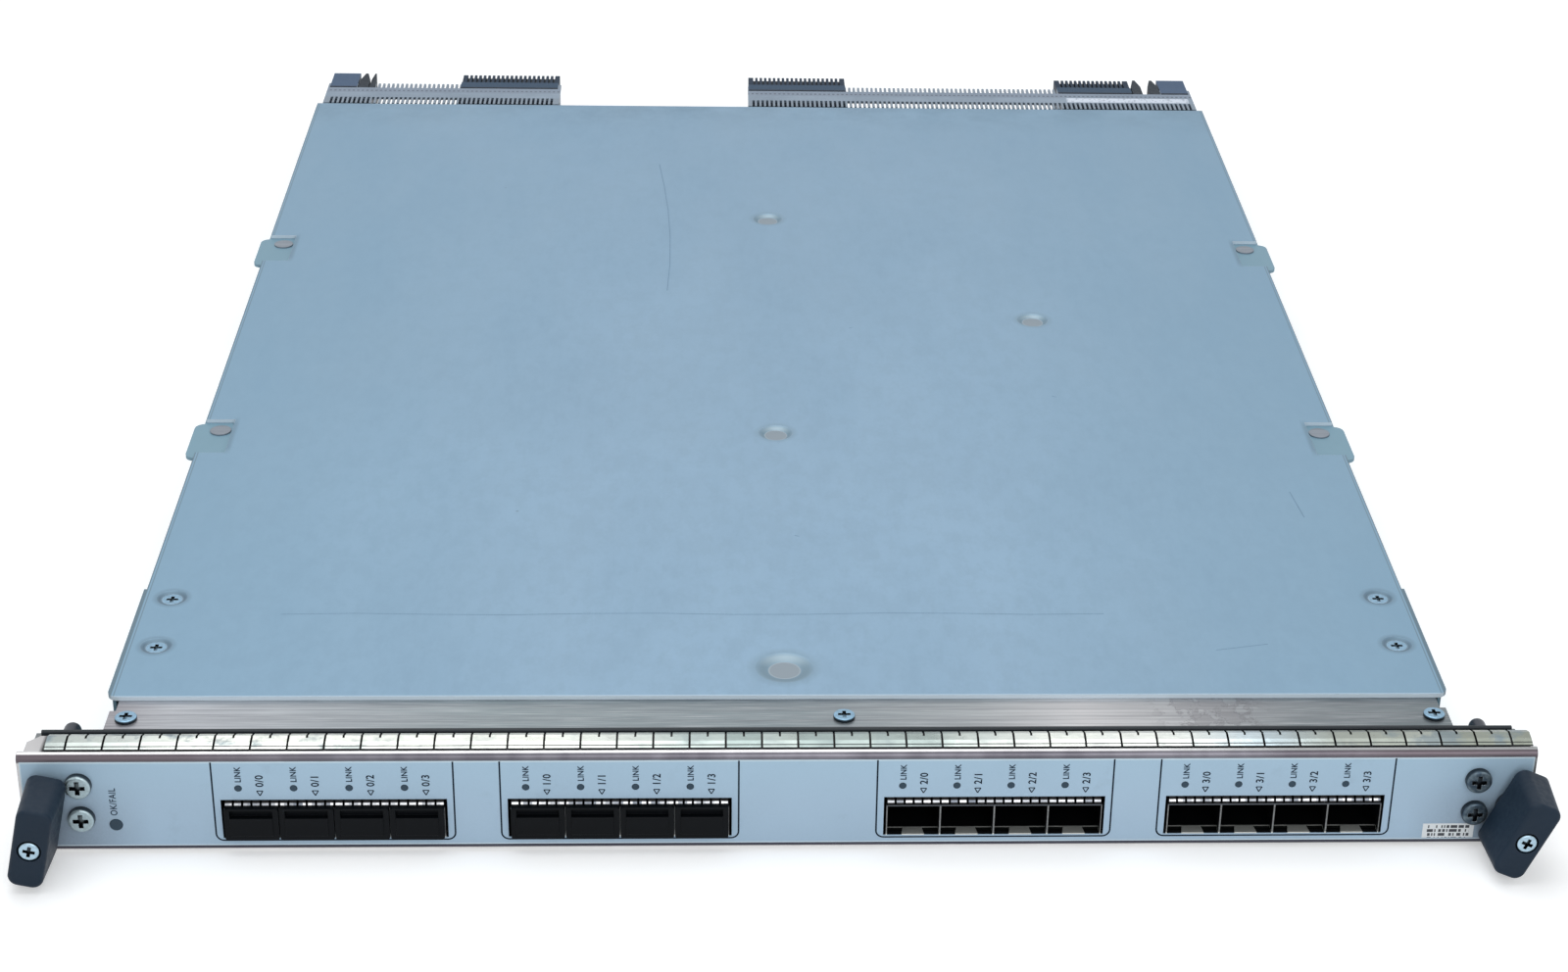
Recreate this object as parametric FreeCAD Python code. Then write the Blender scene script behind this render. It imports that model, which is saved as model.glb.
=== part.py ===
"""Switch line card: a folded tray with a lid, a main board with sixteen module ports
behind a printed faceplate, backplane connectors at the rear, and a jack-screw ejector
with a rotating handle at each end.

Millimetres.  X runs along the faceplate, Y from the faceplate to the rear and Z up from
the underside.  The pieces are laid out with Y = 0 on the front of the metal faceplate,
and everything is moved by ORIGIN as it is written, so that the origin is the middle of
the tray's underside.
"""
import FreeCAD, Part
import math
import os

Vector = FreeCAD.Vector

# ------------------------------------------------------------------ driving dimensions
# Faceplate
PANEL_WIDTH = 396.0
PANEL_HEIGHT = 29.7
PANEL_SHEET = 1.5
PANEL_BEND = 2.0             # outside radius of the folds to the two flanges
PANEL_FLANGE = 9.5           # depth of the flanges from the front face
FLANGE_INSET = 1.7           # the flanges stop this far short of the panel's ends
FLANGE_CORNER = 3.0
OVERLAY_THICK = 0.25         # printed film on the front face
OVERLAY_EDGE = 2.05          # bare metal above and below the film
OVERLAY_END = 0.7

# Tray, cover and front bracket
CARD_HEIGHT = 30.0           # underside of the tray to the top of the cover
PANEL_OVERHANG = 18.3        # faceplate beyond the tray at each end
TRAY_WIDTH = PANEL_WIDTH - 2.0 * PANEL_OVERHANG
TRAY_HALF = TRAY_WIDTH / 2.0
TRAY_SHEET = 1.0
TRAY_LIP = 14.0              # inward lips that carry the cover
TRAY_LOW_WALL = 18.0         # height of the side walls ahead of the cover
COVER_SHEET = 1.2
COVER_INSET = 0.5            # the cover's long edges stand in from the tray's
COVER_LAP = 0.3              # its wider front part stands out past the tray
COVER_FRONT = 28.3
COVER_LAP_END = 87.0
COVER_REAR = 488.3
COVER_CORNER = 3.0
BRACKET_SHEET = 1.0
BRACKET_FRONT = 13.0         # front face of the bracket's upright
BRACKET_SHORT = 3.9          # the upright ends this far short of the faceplate's ends
BRACKET_WEB_IN = 1.4         # the web's ends stand in from the tray's sides
BRACKET_TAIL_IN = 3.0        # the same under the cover
BRACKET_STEP = 23.2          # where the web narrows
COVER_OVERLAP = 5.0          # how far the web runs under the cover

# Main board
BOARD_THICK = 2.0
BOARD_LIFT = 1.3             # board above the tray's floor
BOARD_FRONT = 2.2
BOARD_REAR = COVER_REAR + 18.7
BOARD_MARGIN = 1.2           # board edge to the tray's side wall
STANDOFF_RADIUS = 3.0
BOARD_SCREW_RADIUS = 1.25
BOARD_SCREW_HEAD = 2.4
BOARD_SCREW_HEAD_HEIGHT = 1.4

# Module ports
PORT_PITCH = 14.25
PORTS_PER_CAGE = 4
CAGES_FROM_LEFT = (80.3, 154.33)     # faceplate's left end to the middles of two cages
CAGES_FROM_RIGHT = (143.35, 68.85)   # the same from its right end
CAGE_CENTRES = tuple([distance - PANEL_WIDTH / 2.0 for distance in CAGES_FROM_LEFT]
                     + [PANEL_WIDTH / 2.0 - distance for distance in CAGES_FROM_RIGHT])
CAGE_DEPTH = 48.0
CAGE_HEIGHT = 9.3
CAGE_SHEET = 0.3
CAGE_PROUD = 0.4             # cage front ahead of the faceplate
CAGE_WINDOW = 3.4            # length of the open floor behind the cage's mouth
TONGUE_WIDTH = 6.0
TONGUE_TIP = 5.0
CUTOUT_GAP = 0.7             # cutout beside the cage
CUTOUT_LOW = 4.2
CUTOUT_HIGH = 16.1
FINGERS_PER_PORT = 6
FINGER_WIDTH = 1.75
FINGER_DEPTH = 4.5
FINGER_SHEET = 0.25
FINGER_CLEARANCE = 0.12
FINGER_BAND = 5.2            # depth of the band that carries the fingers
HOST_WIDTH = 12.4            # board connector inside each port
HOST_DEPTH = 9.0
HOST_HEIGHT = 6.2

# Dust plugs
PLUGGED_CAGES = (0, 1)
PLUG_GAP = 0.25              # between two neighbouring plugs
PLUG_LOW = 4.8
PLUG_HEIGHT = 9.5
PLUG_FLANGE = 1.6
PLUG_CORNER = 0.7
PLUG_PAD = 0.35              # raised pad on the plug's face
PLUG_PAD_WIDTH = 11.1
PLUG_PAD_HEIGHT = 5.4
PLUG_GRIP_HEIGHT = 2.3
PLUG_GRIP_DEPTH = 1.5
PLUG_LENGTH = 24.0
PLUG_CLEARANCE = 0.3
PLUG_SEAT = 0.15

# Lamps
LAMP_RADIUS = 0.9
LAMP_HEIGHT = 19.6
LAMP_FROM_PORT = 4.1         # port's left side to the lamp
LAMP_DEPTH = 12.0
STATUS_X = 23.8 - PANEL_WIDTH / 2.0
STATUS_Z = 8.6
STATUS_RADIUS = 1.65
STATUS_DEPTH = 9.0

# Faceplate screws and ejectors
SCREW_X = PANEL_WIDTH / 2.0 - 15.2
SCREW_HEIGHTS = (10.8, 20.9)
SCREW_HEAD_RADIUS = 3.5
SCREW_HEAD_HEIGHT = 1.9
SCREW_RADIUS = 1.5
SCREW_LENGTH = 9.0
SCREW_CLEARANCE = 0.1
BLOCK_WIDTH = 17.4
BLOCK_DEPTH = 18.5
BLOCK_LOW = 5.0
BLOCK_HIGH = 24.0
EJECTOR_X = PANEL_WIDTH / 2.0 - 5.6
EJECTOR_Z = 12.9
JOURNAL_RADIUS = 2.6
JOURNAL_CLEARANCE = 0.05     # running fit in the bushing
BUSHING_RADIUS = 3.6
BUSHING_FLANGE_RADIUS = 4.15
BUSHING_FLANGE = 1.0
PIN_RADIUS = 2.4             # free end of the jack screw
PIN_TIP = 41.0
PIN_DOME = 2.0
COLLAR_RADIUS = 3.2
CLIP_RADIUS = 4.2
CLIP_THICK = 0.8
AXIAL_PLAY = 0.1
HANDLE_BACK = -3.0           # handle's rear face
HANDLE_LENGTH = 15.9
HANDLE_ROLLS = {"left": 12.5, "right": 23.5}   # degrees, top leaning to +X
HANDLE_HALF_WIDTH = (5.05, 4.5)                # at the rear face, at the front face
HANDLE_UP = (12.5, 11.9)
HANDLE_DOWN = (11.7, 11.2)
HANDLE_CORNER = 2.8
HANDLE_SOFT_EDGE = 1.0       # fillet round the front face
SPIGOT_RADIUS = 2.2
HANDLE_WEB = 2.0             # handle left between the spigot and the screw's seat
HANDLE_SCREW_HEAD = 2.7
HANDLE_SCREW_HEAD_HEIGHT = 1.7
HANDLE_SCREW_RADIUS = 1.25
HANDLE_SCREW_LENGTH = 8.0
HANDLE_SEAT_RADIUS = 3.1
HANDLE_SEAT_DEPTH = 1.5

# Conductive gasket on the top flange
GASKET_SHEET = 0.25
GASKET_PITCH = 9.435
GASKET_ENDS = (6.9 - PANEL_WIDTH / 2.0, PANEL_WIDTH / 2.0 - 1.0)
GASKET_FIRST_SLOT = GASKET_ENDS[0] + 5.2
GASKET_SLOTS = int((GASKET_ENDS[1] - GASKET_FIRST_SLOT - 2.0) / GASKET_PITCH) + 1
GASKET_SLOT = 0.55
GASKET_FRONT = 2.0
GASKET_CREST = 7.2
GASKET_RISE = 1.2
GASKET_CLIP = 3.0            # length of the clip under the flange
GASKET_SEAT = 0.05

# Cover fixings and pressings, as (x, y)
DIMPLES_SMALL = ((0.0, 367.7), (89.8, 276.9), (0.0, 188.4))
DIMPLE_LARGE = (0.0, 43.0)
DIMPLE_SMALL_RADII = (5.4, 3.6)
DIMPLE_LARGE_RADII = (8.0, 4.5)
DIMPLE_DEPTH = 1.0
COVER_SCREW_X = TRAY_HALF - 8.3
COVER_SCREW_Y = (55.2, 82.0)
COVER_SCREW_HEAD = 2.85
COVER_SCREW_SINK = 0.5       # the cover is pressed down this far round each screw
COVER_SINK_RADII = (4.3, 3.15)
COVER_SCREW_RADIUS = 1.4
COVER_SCREW_LENGTH = 4.5
STRIP_SCREWS = ((6.4 - TRAY_HALF, 19.0), (15.4, 19.0), (TRAY_HALF - 5.5, 19.0))
STRIP_SCREW_HEAD = 2.9
STRIP_SCREW_HEAD_HEIGHT = 1.0
POST_RADIUS = 3.2
EAR_CENTRES = (184.0, 336.1)
EAR_LENGTH = 24.0
EAR_OUT = 2.7                # ears stand this far out of the tray's sides
EAR_CORNER = 3.0
EAR_WINDOW_LENGTH = 23.3
EAR_WINDOW_BACK = 1.15       # window's middle behind the ear's
EAR_WINDOW_INNER = 9.0       # window's inner edge, in from the cover's long edge
RIVET_RADIUS = 3.3
RIVET_HEIGHT = 0.4
RIVET_IN = 5.7               # rivet's middle, in from the tray's side
RIVET_BACK = 6.9             # rivet's middle behind the ear's
VENT_WIDTH = 3.4
VENT_HEIGHT = 15.0
VENT_PITCH = 8.0
VENT_SPAN = (100.0, COVER_REAR - 26.3)

# Rear connectors
CONTACT_PITCH = 1.85
CONNECTOR_TOP = 28.5
STIFFENER_SHEET = 1.1
STIFFENER_IN = 1.9           # outer ends of the stiffeners, in from the tray's sides
STIFFENER_SPANS = {"left": (STIFFENER_IN - TRAY_HALF, 96.7 - TRAY_HALF),
                   "right": (-6.1, TRAY_HALF - STIFFENER_IN)}
STIFFENER_PLATE = (COVER_REAR + 12.1, COVER_REAR + 23.3)
STIFFENER_FRONT_TEETH = 6.9
STIFFENER_REAR_TEETH = 5.0
TOOTH_GAP = 0.95
MODULE_REAR = STIFFENER_PLATE[1] + 19.0
MODULE_STEP = MODULE_REAR - 11.4
MODULE_STEP_DROP = 1.0
MODULE_BODY_FRONT = STIFFENER_PLATE[0] - 2.9
MODULE_SPANS = {"1": (55.7 - TRAY_HALF, 95.5 - TRAY_HALF), "2": (-5.8, 34.3),
                "3": (TRAY_HALF - 57.1, TRAY_HALF - 26.1)}
MODULE_SLIT = 0.8
MODULE_SLIT_DEPTH = 1.2
MODULE_GROOVE = 1.0          # depth of the wafer grooves along the shroud's top
MODULE_WALL = 1.2
SEAM = 0.6                   # groove between the stiffener and what stands behind it
GUIDE_SPANS = {"left": (2.6 - TRAY_HALF, 13.5 - TRAY_HALF),
               "right": (TRAY_HALF - 14.1, TRAY_HALF - 2.7)}
GUIDE_REAR = STIFFENER_PLATE[1] + 17.2
GUIDE_RADIUS = 3.0
GUIDE_Z = 15.5
GUIDE_DEPTH = 14.0
BLADES = {"left": ((16.1 - TRAY_HALF, 4.0), (19.7 - TRAY_HALF, 2.2)),
          "right": ((TRAY_HALF - 23.7, 4.0), (TRAY_HALF - 16.6, 4.2))}
BLADE_TIP = GUIDE_REAR         # the points are level with the guide sockets
BLADE_POINT = 7.8             # length of the tapered points
BLADE_HEIGHT = 9.0
BLADE_FOOT_MARGIN = 0.4

# Parts on the main board, as (x, y) of each centre
SINK_ROWS = (185.0, COVER_REAR - 158.3)
HEAT_SINKS = tuple((x, y) for y in SINK_ROWS for x in (-105.0, 105.0))
HEAT_SINK_SIZE = 58.0
HEAT_SINK_BASE = 4.0
HEAT_SINK_CLEARANCE = 2.0    # fin tips to the cover's underside
FIN_PITCH = 5.4
FIN_THICK = 1.4
CHIP_SIZE = 42.0
CHIP_HEIGHT = 3.0
MEMORY_SIZE = (11.0, 18.4)
MEMORY_HEIGHT = 1.2
MEMORY_FROM_CHIP = 44.0
MEMORY_PITCH = 16.0
BRICKS = tuple((x, COVER_REAR - 63.3) for x in (-120.0, 0.0, 120.0))
BRICK_SIZE = (58.0, 36.0)
BRICK_HEIGHT = 12.7
INDUCTOR_ROW = (-66.0, -40.0, -14.0, 14.0, 40.0, 66.0)
INDUCTOR_Y = 276.0
INDUCTOR_SIZE = 13.0
INDUCTOR_HEIGHT = 7.5
CAPACITOR_ROW = (-84.0, -72.0, -48.0, -36.0, 36.0, 48.0, 72.0, 84.0)
CAPACITOR_Y = COVER_REAR - 58.3
CAPACITOR_RADIUS = 4.0
CAPACITOR_HEIGHT = 11.0
PHY_Y = 84.0
PHY_SIZE = 27.0
PHY_HEIGHT = 2.4
BOARD_SCREWS_X = (19.7 - TRAY_HALF, -20.0, 20.0, TRAY_HALF - 19.7)
BOARD_SCREWS_Y = (110.0, 258.0, COVER_REAR - 103.3, COVER_REAR - 23.3)

# Bare plate where a rating label would sit
PLATE_SPAN = (PANEL_WIDTH / 2.0 - 28.4, PANEL_WIDTH / 2.0 - 14.6)
PLATE_HEIGHTS = (2.6, 7.0)
PLATE_THICK = 0.1

# ------------------------------------------------------------------ derived levels
ORIGIN = Vector(0.0, COVER_REAR / 2.0, 0.0)
DECK = CARD_HEIGHT - COVER_SHEET                  # where the cover rests
BOARD_UNDER = TRAY_SHEET + BOARD_LIFT
BOARD_TOP = BOARD_UNDER + BOARD_THICK
BOARD_HALF = TRAY_HALF - TRAY_SHEET - BOARD_MARGIN
OVERLAY_FRONT = -OVERLAY_THICK
CAGE_HALF = PORT_PITCH * PORTS_PER_CAGE / 2.0
CAGE_TOP = BOARD_TOP + CAGE_HEIGHT
TRAY_FRONT = PANEL_FLANGE + 0.8
WALL_FRONT = BRACKET_FRONT + BRACKET_SHEET + 0.3
LIP_FRONT = COVER_FRONT + COVER_OVERLAP + 0.5
BLOCK_FRONT = PANEL_SHEET
BLOCK_BACK = BLOCK_FRONT + BLOCK_DEPTH
CLIP_FRONT = BLOCK_BACK + AXIAL_PLAY
CLIP_BACK = CLIP_FRONT + CLIP_THICK
STIFFENER_UNDER = CONNECTOR_TOP - STIFFENER_SHEET
SCREW_SEAT = CARD_HEIGHT - COVER_SCREW_SINK       # top of the cover screws' heads
SIDES = {"left": -1, "right": 1}


# ------------------------------------------------------------------ small shape helpers
def box(x, y, z):
    """A block from three (low, high) pairs."""
    corner = Vector(x[0], y[0], z[0])
    return Part.makeBox(x[1] - x[0], y[1] - y[0], z[1] - z[0], corner)


def centred(centre, half):
    return (centre - half, centre + half)


def post(x, y, radius, z):
    """An upright cylinder."""
    return Part.makeCylinder(radius, z[1] - z[0], Vector(x, y, z[0]), Vector(0, 0, 1))


def cone(x, y, radii, z):
    """An upright cone from radii[0] at z[0] to radii[1] at z[1]."""
    return Part.makeCone(radii[0], radii[1], z[1] - z[0], Vector(x, y, z[0]), Vector(0, 0, 1))


def rod(x, z, radius, y):
    """A cylinder along the card's depth."""
    return Part.makeCylinder(radius, y[1] - y[0], Vector(x, y[0], z), Vector(0, 1, 0))


def prism(corners, sweep):
    """A closed outline swept along a vector."""
    outline = Part.makePolygon([Vector(*corner) for corner in corners + corners[:1]])
    return Part.Face(outline).extrude(Vector(*sweep))


def bar_along_x(outline, x):
    """An outline of (y, z) points swept from x[0] to x[1]."""
    return prism([(x[0], y, z) for y, z in outline], (x[1] - x[0], 0, 0))


def plate(outline, z):
    """An outline of (x, y) points swept from z[0] to z[1]."""
    return prism([(x, y, z[0]) for x, y in outline], (0, 0, z[1] - z[0]))


def strip(path, thick):
    """The outline of a thin strip that follows a path of (y, z) points."""
    half = thick / 2.0
    normals = []
    for (y0, z0), (y1, z1) in zip(path, path[1:]):
        run = math.hypot(y1 - y0, z1 - z0)
        normals.append(((z0 - z1) / run, (y1 - y0) / run))
    near, far = [], []
    for index, (y, z) in enumerate(path):
        before = normals[max(index - 1, 0)]
        after = normals[min(index, len(normals) - 1)]
        reach = half / (1.0 + before[0] * after[0] + before[1] * after[1])
        shift = ((before[0] + after[0]) * reach, (before[1] + after[1]) * reach)
        near.append((y + shift[0], z + shift[1]))
        far.append((y - shift[0], z - shift[1]))
    return near + far[::-1]


def round_edges(shape, radius, wanted):
    """Fillet the edges whose middle point passes a test."""
    edges = [edge for edge in shape.Edges if wanted(edge.CenterOfMass)]
    return shape.makeFillet(radius, edges)


def cut_all(shape, tools):
    return shape.cut(Part.makeCompound(tools)) if tools else shape


def phillips(centre, axis, width, depth):
    """The cross recess of a screw head, sunk along the axis from the centre."""
    arm = width * 0.3
    shape = Part.makeBox(width, arm, depth, Vector(-width / 2.0, -arm / 2.0, 0))
    shape = shape.fuse(Part.makeBox(arm, width, depth, Vector(-arm / 2.0, -width / 2.0, 0)))
    turn = FreeCAD.Rotation(Vector(0, 0, 1), axis)
    shape.Placement = FreeCAD.Placement(centre, turn)
    return shape


def screw(seat, axis, head, shank):
    """A Phillips screw.  Seat is where the head's underside rests, and axis points
    from there to the tip; head and shank are (radius, length) pairs."""
    top = seat - axis * head[1]
    body = Part.makeCylinder(head[0], head[1], top, axis)
    crown = head[1] * 0.4
    body = round_edges(body, crown, lambda middle: (middle - top).dot(axis) < crown / 2)
    body = body.fuse(Part.makeCylinder(shank[0], shank[1], seat, axis))
    return body.cut(phillips(top, axis, head[0] * 1.15, head[1] * 0.7))


# ------------------------------------------------------------------ faceplate
def port_lefts(centre):
    """The left side of each port in a cage."""
    return [centre - CAGE_HALF + PORT_PITCH * index for index in range(PORTS_PER_CAGE)]


def lamp_places():
    return [left + LAMP_FROM_PORT for centre in CAGE_CENTRES for left in port_lefts(centre)]


def panel_openings(clearance):
    """Everything that passes through the faceplate and its film."""
    y = (OVERLAY_FRONT - 1.0, PANEL_SHEET + 1.0)
    tools = []
    for centre in CAGE_CENTRES:
        tools.append(box(centred(centre, CAGE_HALF + CUTOUT_GAP), y, (CUTOUT_LOW, CUTOUT_HIGH)))
    for x in lamp_places():
        tools.append(rod(x, LAMP_HEIGHT, LAMP_RADIUS + clearance, y))
    tools.append(rod(STATUS_X, STATUS_Z, STATUS_RADIUS + clearance, y))
    for side in SIDES.values():
        tools.append(rod(side * EJECTOR_X, EJECTOR_Z, BUSHING_RADIUS + clearance, y))
        for z in SCREW_HEIGHTS:
            tools.append(rod(side * SCREW_X, z, SCREW_RADIUS + clearance, y))
    return tools


def faceplate():
    """Steel channel: front wall, with a flange folded back above and below."""
    half = PANEL_WIDTH / 2.0
    shape = box((-half, half), (0, PANEL_FLANGE), (0, PANEL_HEIGHT))
    shape = round_edges(shape, PANEL_BEND,
                        lambda middle: abs(middle.x) < 1 and middle.y < 0.01)
    hollow = box((-half - 1, half + 1), (PANEL_SHEET, PANEL_FLANGE + 1),
                 (PANEL_SHEET, PANEL_HEIGHT - PANEL_SHEET))
    shape = shape.cut(hollow)
    end = half - FLANGE_INSET
    tools = panel_openings(SCREW_CLEARANCE)
    for side in SIDES.values():
        outline = [(side * (end - FLANGE_CORNER), PANEL_FLANGE + 1),
                   (side * (end - FLANGE_CORNER), PANEL_FLANGE),
                   (side * end, PANEL_FLANGE - FLANGE_CORNER),
                   (side * end, PANEL_BEND),
                   (side * (half + 1), PANEL_BEND),
                   (side * (half + 1), PANEL_FLANGE + 1)]
        tools.append(plate(outline, (-1, PANEL_HEIGHT + 1)))
    return cut_all(shape, tools)


def faceplate_film():
    """Printed film over the flat of the faceplate."""
    half = PANEL_WIDTH / 2.0 - OVERLAY_END
    shape = box((-half, half), (OVERLAY_FRONT, 0),
                (OVERLAY_EDGE, PANEL_HEIGHT - OVERLAY_EDGE))
    return cut_all(shape, panel_openings(SCREW_CLEARANCE))


def blank_plate():
    """Thin blank label on the film, at the lower right."""
    return box(PLATE_SPAN, (OVERLAY_FRONT - PLATE_THICK, OVERLAY_FRONT), PLATE_HEIGHTS)


def faceplate_screws():
    """Four pan-head screws through the faceplate into the ejector blocks."""
    return [screw(Vector(side * SCREW_X, OVERLAY_FRONT, z), Vector(0, 1, 0),
                  (SCREW_HEAD_RADIUS, SCREW_HEAD_HEIGHT), (SCREW_RADIUS, SCREW_LENGTH))
            for side in SIDES.values() for z in SCREW_HEIGHTS]


def gasket():
    """Spring-finger strip clipped over the rear edge of the top flange."""
    flange_under = PANEL_HEIGHT - PANEL_SHEET
    gap = GASKET_SEAT + GASKET_SHEET / 2.0
    rear = PANEL_FLANGE + gap
    path = [(PANEL_FLANGE - GASKET_CLIP, flange_under - gap),
            (rear, flange_under - gap),
            (rear, PANEL_HEIGHT + gap),
            (GASKET_CREST, PANEL_HEIGHT + GASKET_RISE),
            ((GASKET_CREST + GASKET_FRONT) / 2.0, PANEL_HEIGHT + GASKET_RISE * 0.75),
            (GASKET_FRONT, PANEL_HEIGHT + gap)]
    shape = bar_along_x(strip(path, GASKET_SHEET), GASKET_ENDS)
    z = (PANEL_HEIGHT - PANEL_SHEET / 2.0, PANEL_HEIGHT + GASKET_RISE + 1)
    half = GASKET_SLOT / 2.0
    slots = []
    for index in range(GASKET_SLOTS):
        x = GASKET_FIRST_SLOT + GASKET_PITCH * index
        slots.append(box(centred(x, half), (GASKET_FRONT - 1, rear + 1), z))
        if index < GASKET_SLOTS - 1:
            middle = x + GASKET_PITCH / 2.0
            slots.append(box(centred(middle, half), (GASKET_CREST - 1.0, rear + 1), z))
    return cut_all(shape, slots)


# ------------------------------------------------------------------ tray, bracket, cover
def ear_outline(side, y):
    """One ear of the tray in plan, with its outer corners cut round."""
    inner = TRAY_HALF - TRAY_LIP
    outer = TRAY_HALF + EAR_OUT
    half = EAR_LENGTH / 2.0
    points = [(inner, y - half)]
    for centre_y, start in ((y - half + EAR_CORNER, -90), (y + half - EAR_CORNER, 0)):
        for step in range(5):
            angle = math.radians(start + 22.5 * step)
            points.append((outer - EAR_CORNER + EAR_CORNER * math.cos(angle),
                           centre_y + EAR_CORNER * math.sin(angle)))
    points.append((inner, y + half))
    return [(side * px, py) for px, py in points]


def tray():
    """Folded tray: floor, two vented side walls and lips that carry the cover."""
    inner = TRAY_HALF - TRAY_SHEET
    lip = (DECK - TRAY_SHEET, DECK)
    shape = box((-TRAY_HALF, TRAY_HALF), (TRAY_FRONT, COVER_REAR), (0, TRAY_SHEET))
    for side in SIDES.values():
        x = sorted((side * inner, side * TRAY_HALF))
        shape = shape.fuse(box(x, (WALL_FRONT, COVER_REAR), (0, TRAY_LOW_WALL)))
        shape = shape.fuse(box(x, (LIP_FRONT, COVER_REAR), (0, DECK)))
        x = sorted((side * (TRAY_HALF - TRAY_LIP), side * TRAY_HALF))
        shape = shape.fuse(box(x, (LIP_FRONT, COVER_REAR), lip))
        for y in EAR_CENTRES:
            shape = shape.fuse(plate(ear_outline(side, y), lip))
    shape = shape.removeSplitter()
    tools = []
    vent_z = centred((TRAY_SHEET + DECK) / 2.0, VENT_HEIGHT / 2.0)
    count = int((VENT_SPAN[1] - VENT_SPAN[0]) / VENT_PITCH) + 1
    for index in range(count):
        y = centred(VENT_SPAN[0] + VENT_PITCH * index, VENT_WIDTH / 2.0)
        tools.append(box((-TRAY_HALF - 1, TRAY_HALF + 1), y, vent_z))
    for x, y in cover_screw_places():
        tools.append(post(x, y, COVER_SCREW_RADIUS + SCREW_CLEARANCE, (lip[0] - 1, lip[1] + 1)))
    return cut_all(shape, tools)


def front_bracket():
    """Angle behind the faceplate: an upright on the ejector blocks, and a web that
    the cover overlaps."""
    top = DECK
    under = top - BRACKET_SHEET
    half = PANEL_WIDTH / 2.0 - BRACKET_SHORT
    web = TRAY_HALF - BRACKET_WEB_IN
    tail = TRAY_HALF - BRACKET_TAIL_IN
    rear = COVER_FRONT + COVER_OVERLAP
    shape = box((-half, half), (BRACKET_FRONT, BRACKET_FRONT + BRACKET_SHEET),
                (BLOCK_HIGH, top))
    outline = [(-web, BRACKET_FRONT), (web, BRACKET_FRONT), (web, BRACKET_STEP),
               (tail, BRACKET_STEP), (tail, rear), (-tail, rear),
               (-tail, BRACKET_STEP), (-web, BRACKET_STEP)]
    shape = shape.fuse(plate(outline, (under, top))).removeSplitter()
    shape = round_edges(shape, BRACKET_SHEET * 0.6,
                        lambda middle: middle.y < BRACKET_FRONT + 0.01 and middle.z > top - 0.01)
    holes = [post(x, y, SCREW_RADIUS + SCREW_CLEARANCE, (under - 1, top + 1))
             for x, y in STRIP_SCREWS]
    return cut_all(shape, holes)


def bracket_posts():
    """Round posts from the main board up to the bracket's web."""
    return [post(x, y, POST_RADIUS, (BOARD_TOP, DECK - BRACKET_SHEET)).cut(
                post(x, y, SCREW_RADIUS + SCREW_CLEARANCE, (BOARD_TOP + 4.0, DECK)))
            for x, y in STRIP_SCREWS]


def bracket_screws():
    return [screw(Vector(x, y, DECK), Vector(0, 0, -1),
                  (STRIP_SCREW_HEAD, STRIP_SCREW_HEAD_HEIGHT), (SCREW_RADIUS, SCREW_LENGTH))
            for x, y in STRIP_SCREWS]


def cover_screw_places():
    return [(side * COVER_SCREW_X, y) for side in SIDES.values() for y in COVER_SCREW_Y]


def dimple(x, y, radii):
    """Shapes that press one round dimple into the cover: what is added under the
    sheet and what is taken out of its top."""
    outer, flat = radii
    added = cone(x, y, (flat + COVER_SHEET, outer), (DECK - DIMPLE_DEPTH, DECK))
    taken = cone(x, y, (flat, outer), (CARD_HEIGHT - DIMPLE_DEPTH, CARD_HEIGHT))
    return added, taken


def cover():
    """Top cover: flat sheet with a wider front part, round dimples, countersunk
    screw holes and windows over the tray's ears."""
    narrow = TRAY_HALF - COVER_INSET
    wide = TRAY_HALF + COVER_LAP
    outline = [(-wide, COVER_FRONT), (wide, COVER_FRONT), (wide, COVER_LAP_END),
               (narrow, COVER_LAP_END), (narrow, COVER_REAR), (-narrow, COVER_REAR),
               (-narrow, COVER_LAP_END), (-wide, COVER_LAP_END)]
    shape = plate(outline, (DECK, CARD_HEIGHT))
    shape = round_edges(shape, COVER_CORNER,
                        lambda middle: abs(middle.x) > wide - 0.01
                        and middle.y < COVER_FRONT + 0.01)
    tools = []
    for (x, y), radii in [(place, DIMPLE_SMALL_RADII) for place in DIMPLES_SMALL] + [
            (DIMPLE_LARGE, DIMPLE_LARGE_RADII)]:
        added, taken = dimple(x, y, radii)
        shape = shape.fuse(added)
        tools.append(taken)
    for x, y in cover_screw_places():
        tools.append(cone(x, y, (COVER_SCREW_HEAD - SCREW_SEAT + DECK, COVER_SCREW_HEAD),
                          (DECK, SCREW_SEAT)))
        tools.append(cone(x, y, COVER_SINK_RADII[::-1], (SCREW_SEAT, CARD_HEIGHT)))
        tools.append(post(x, y, COVER_SCREW_RADIUS + SCREW_CLEARANCE,
                          (DECK - 1, CARD_HEIGHT + 1)))
    for side in SIDES.values():
        x = sorted((side * (narrow - EAR_WINDOW_INNER), side * (wide + 1)))
        for y in EAR_CENTRES:
            tools.append(box(x, centred(y + EAR_WINDOW_BACK, EAR_WINDOW_LENGTH / 2.0),
                             (DECK - 1, CARD_HEIGHT + 1)))
    return cut_all(shape, tools)


def cover_screws():
    """Countersunk screws through the cover into the tray's lips."""
    shapes = []
    depth = SCREW_SEAT - DECK
    for x, y in cover_screw_places():
        head = cone(x, y, (COVER_SCREW_HEAD - depth, COVER_SCREW_HEAD), (DECK, SCREW_SEAT))
        shank = post(x, y, COVER_SCREW_RADIUS, (SCREW_SEAT - COVER_SCREW_LENGTH, SCREW_SEAT))
        cross = phillips(Vector(x, y, SCREW_SEAT), Vector(0, 0, -1), COVER_SCREW_HEAD * 1.15,
                         depth)
        shapes.append(head.fuse(shank).cut(cross))
    return shapes


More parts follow.
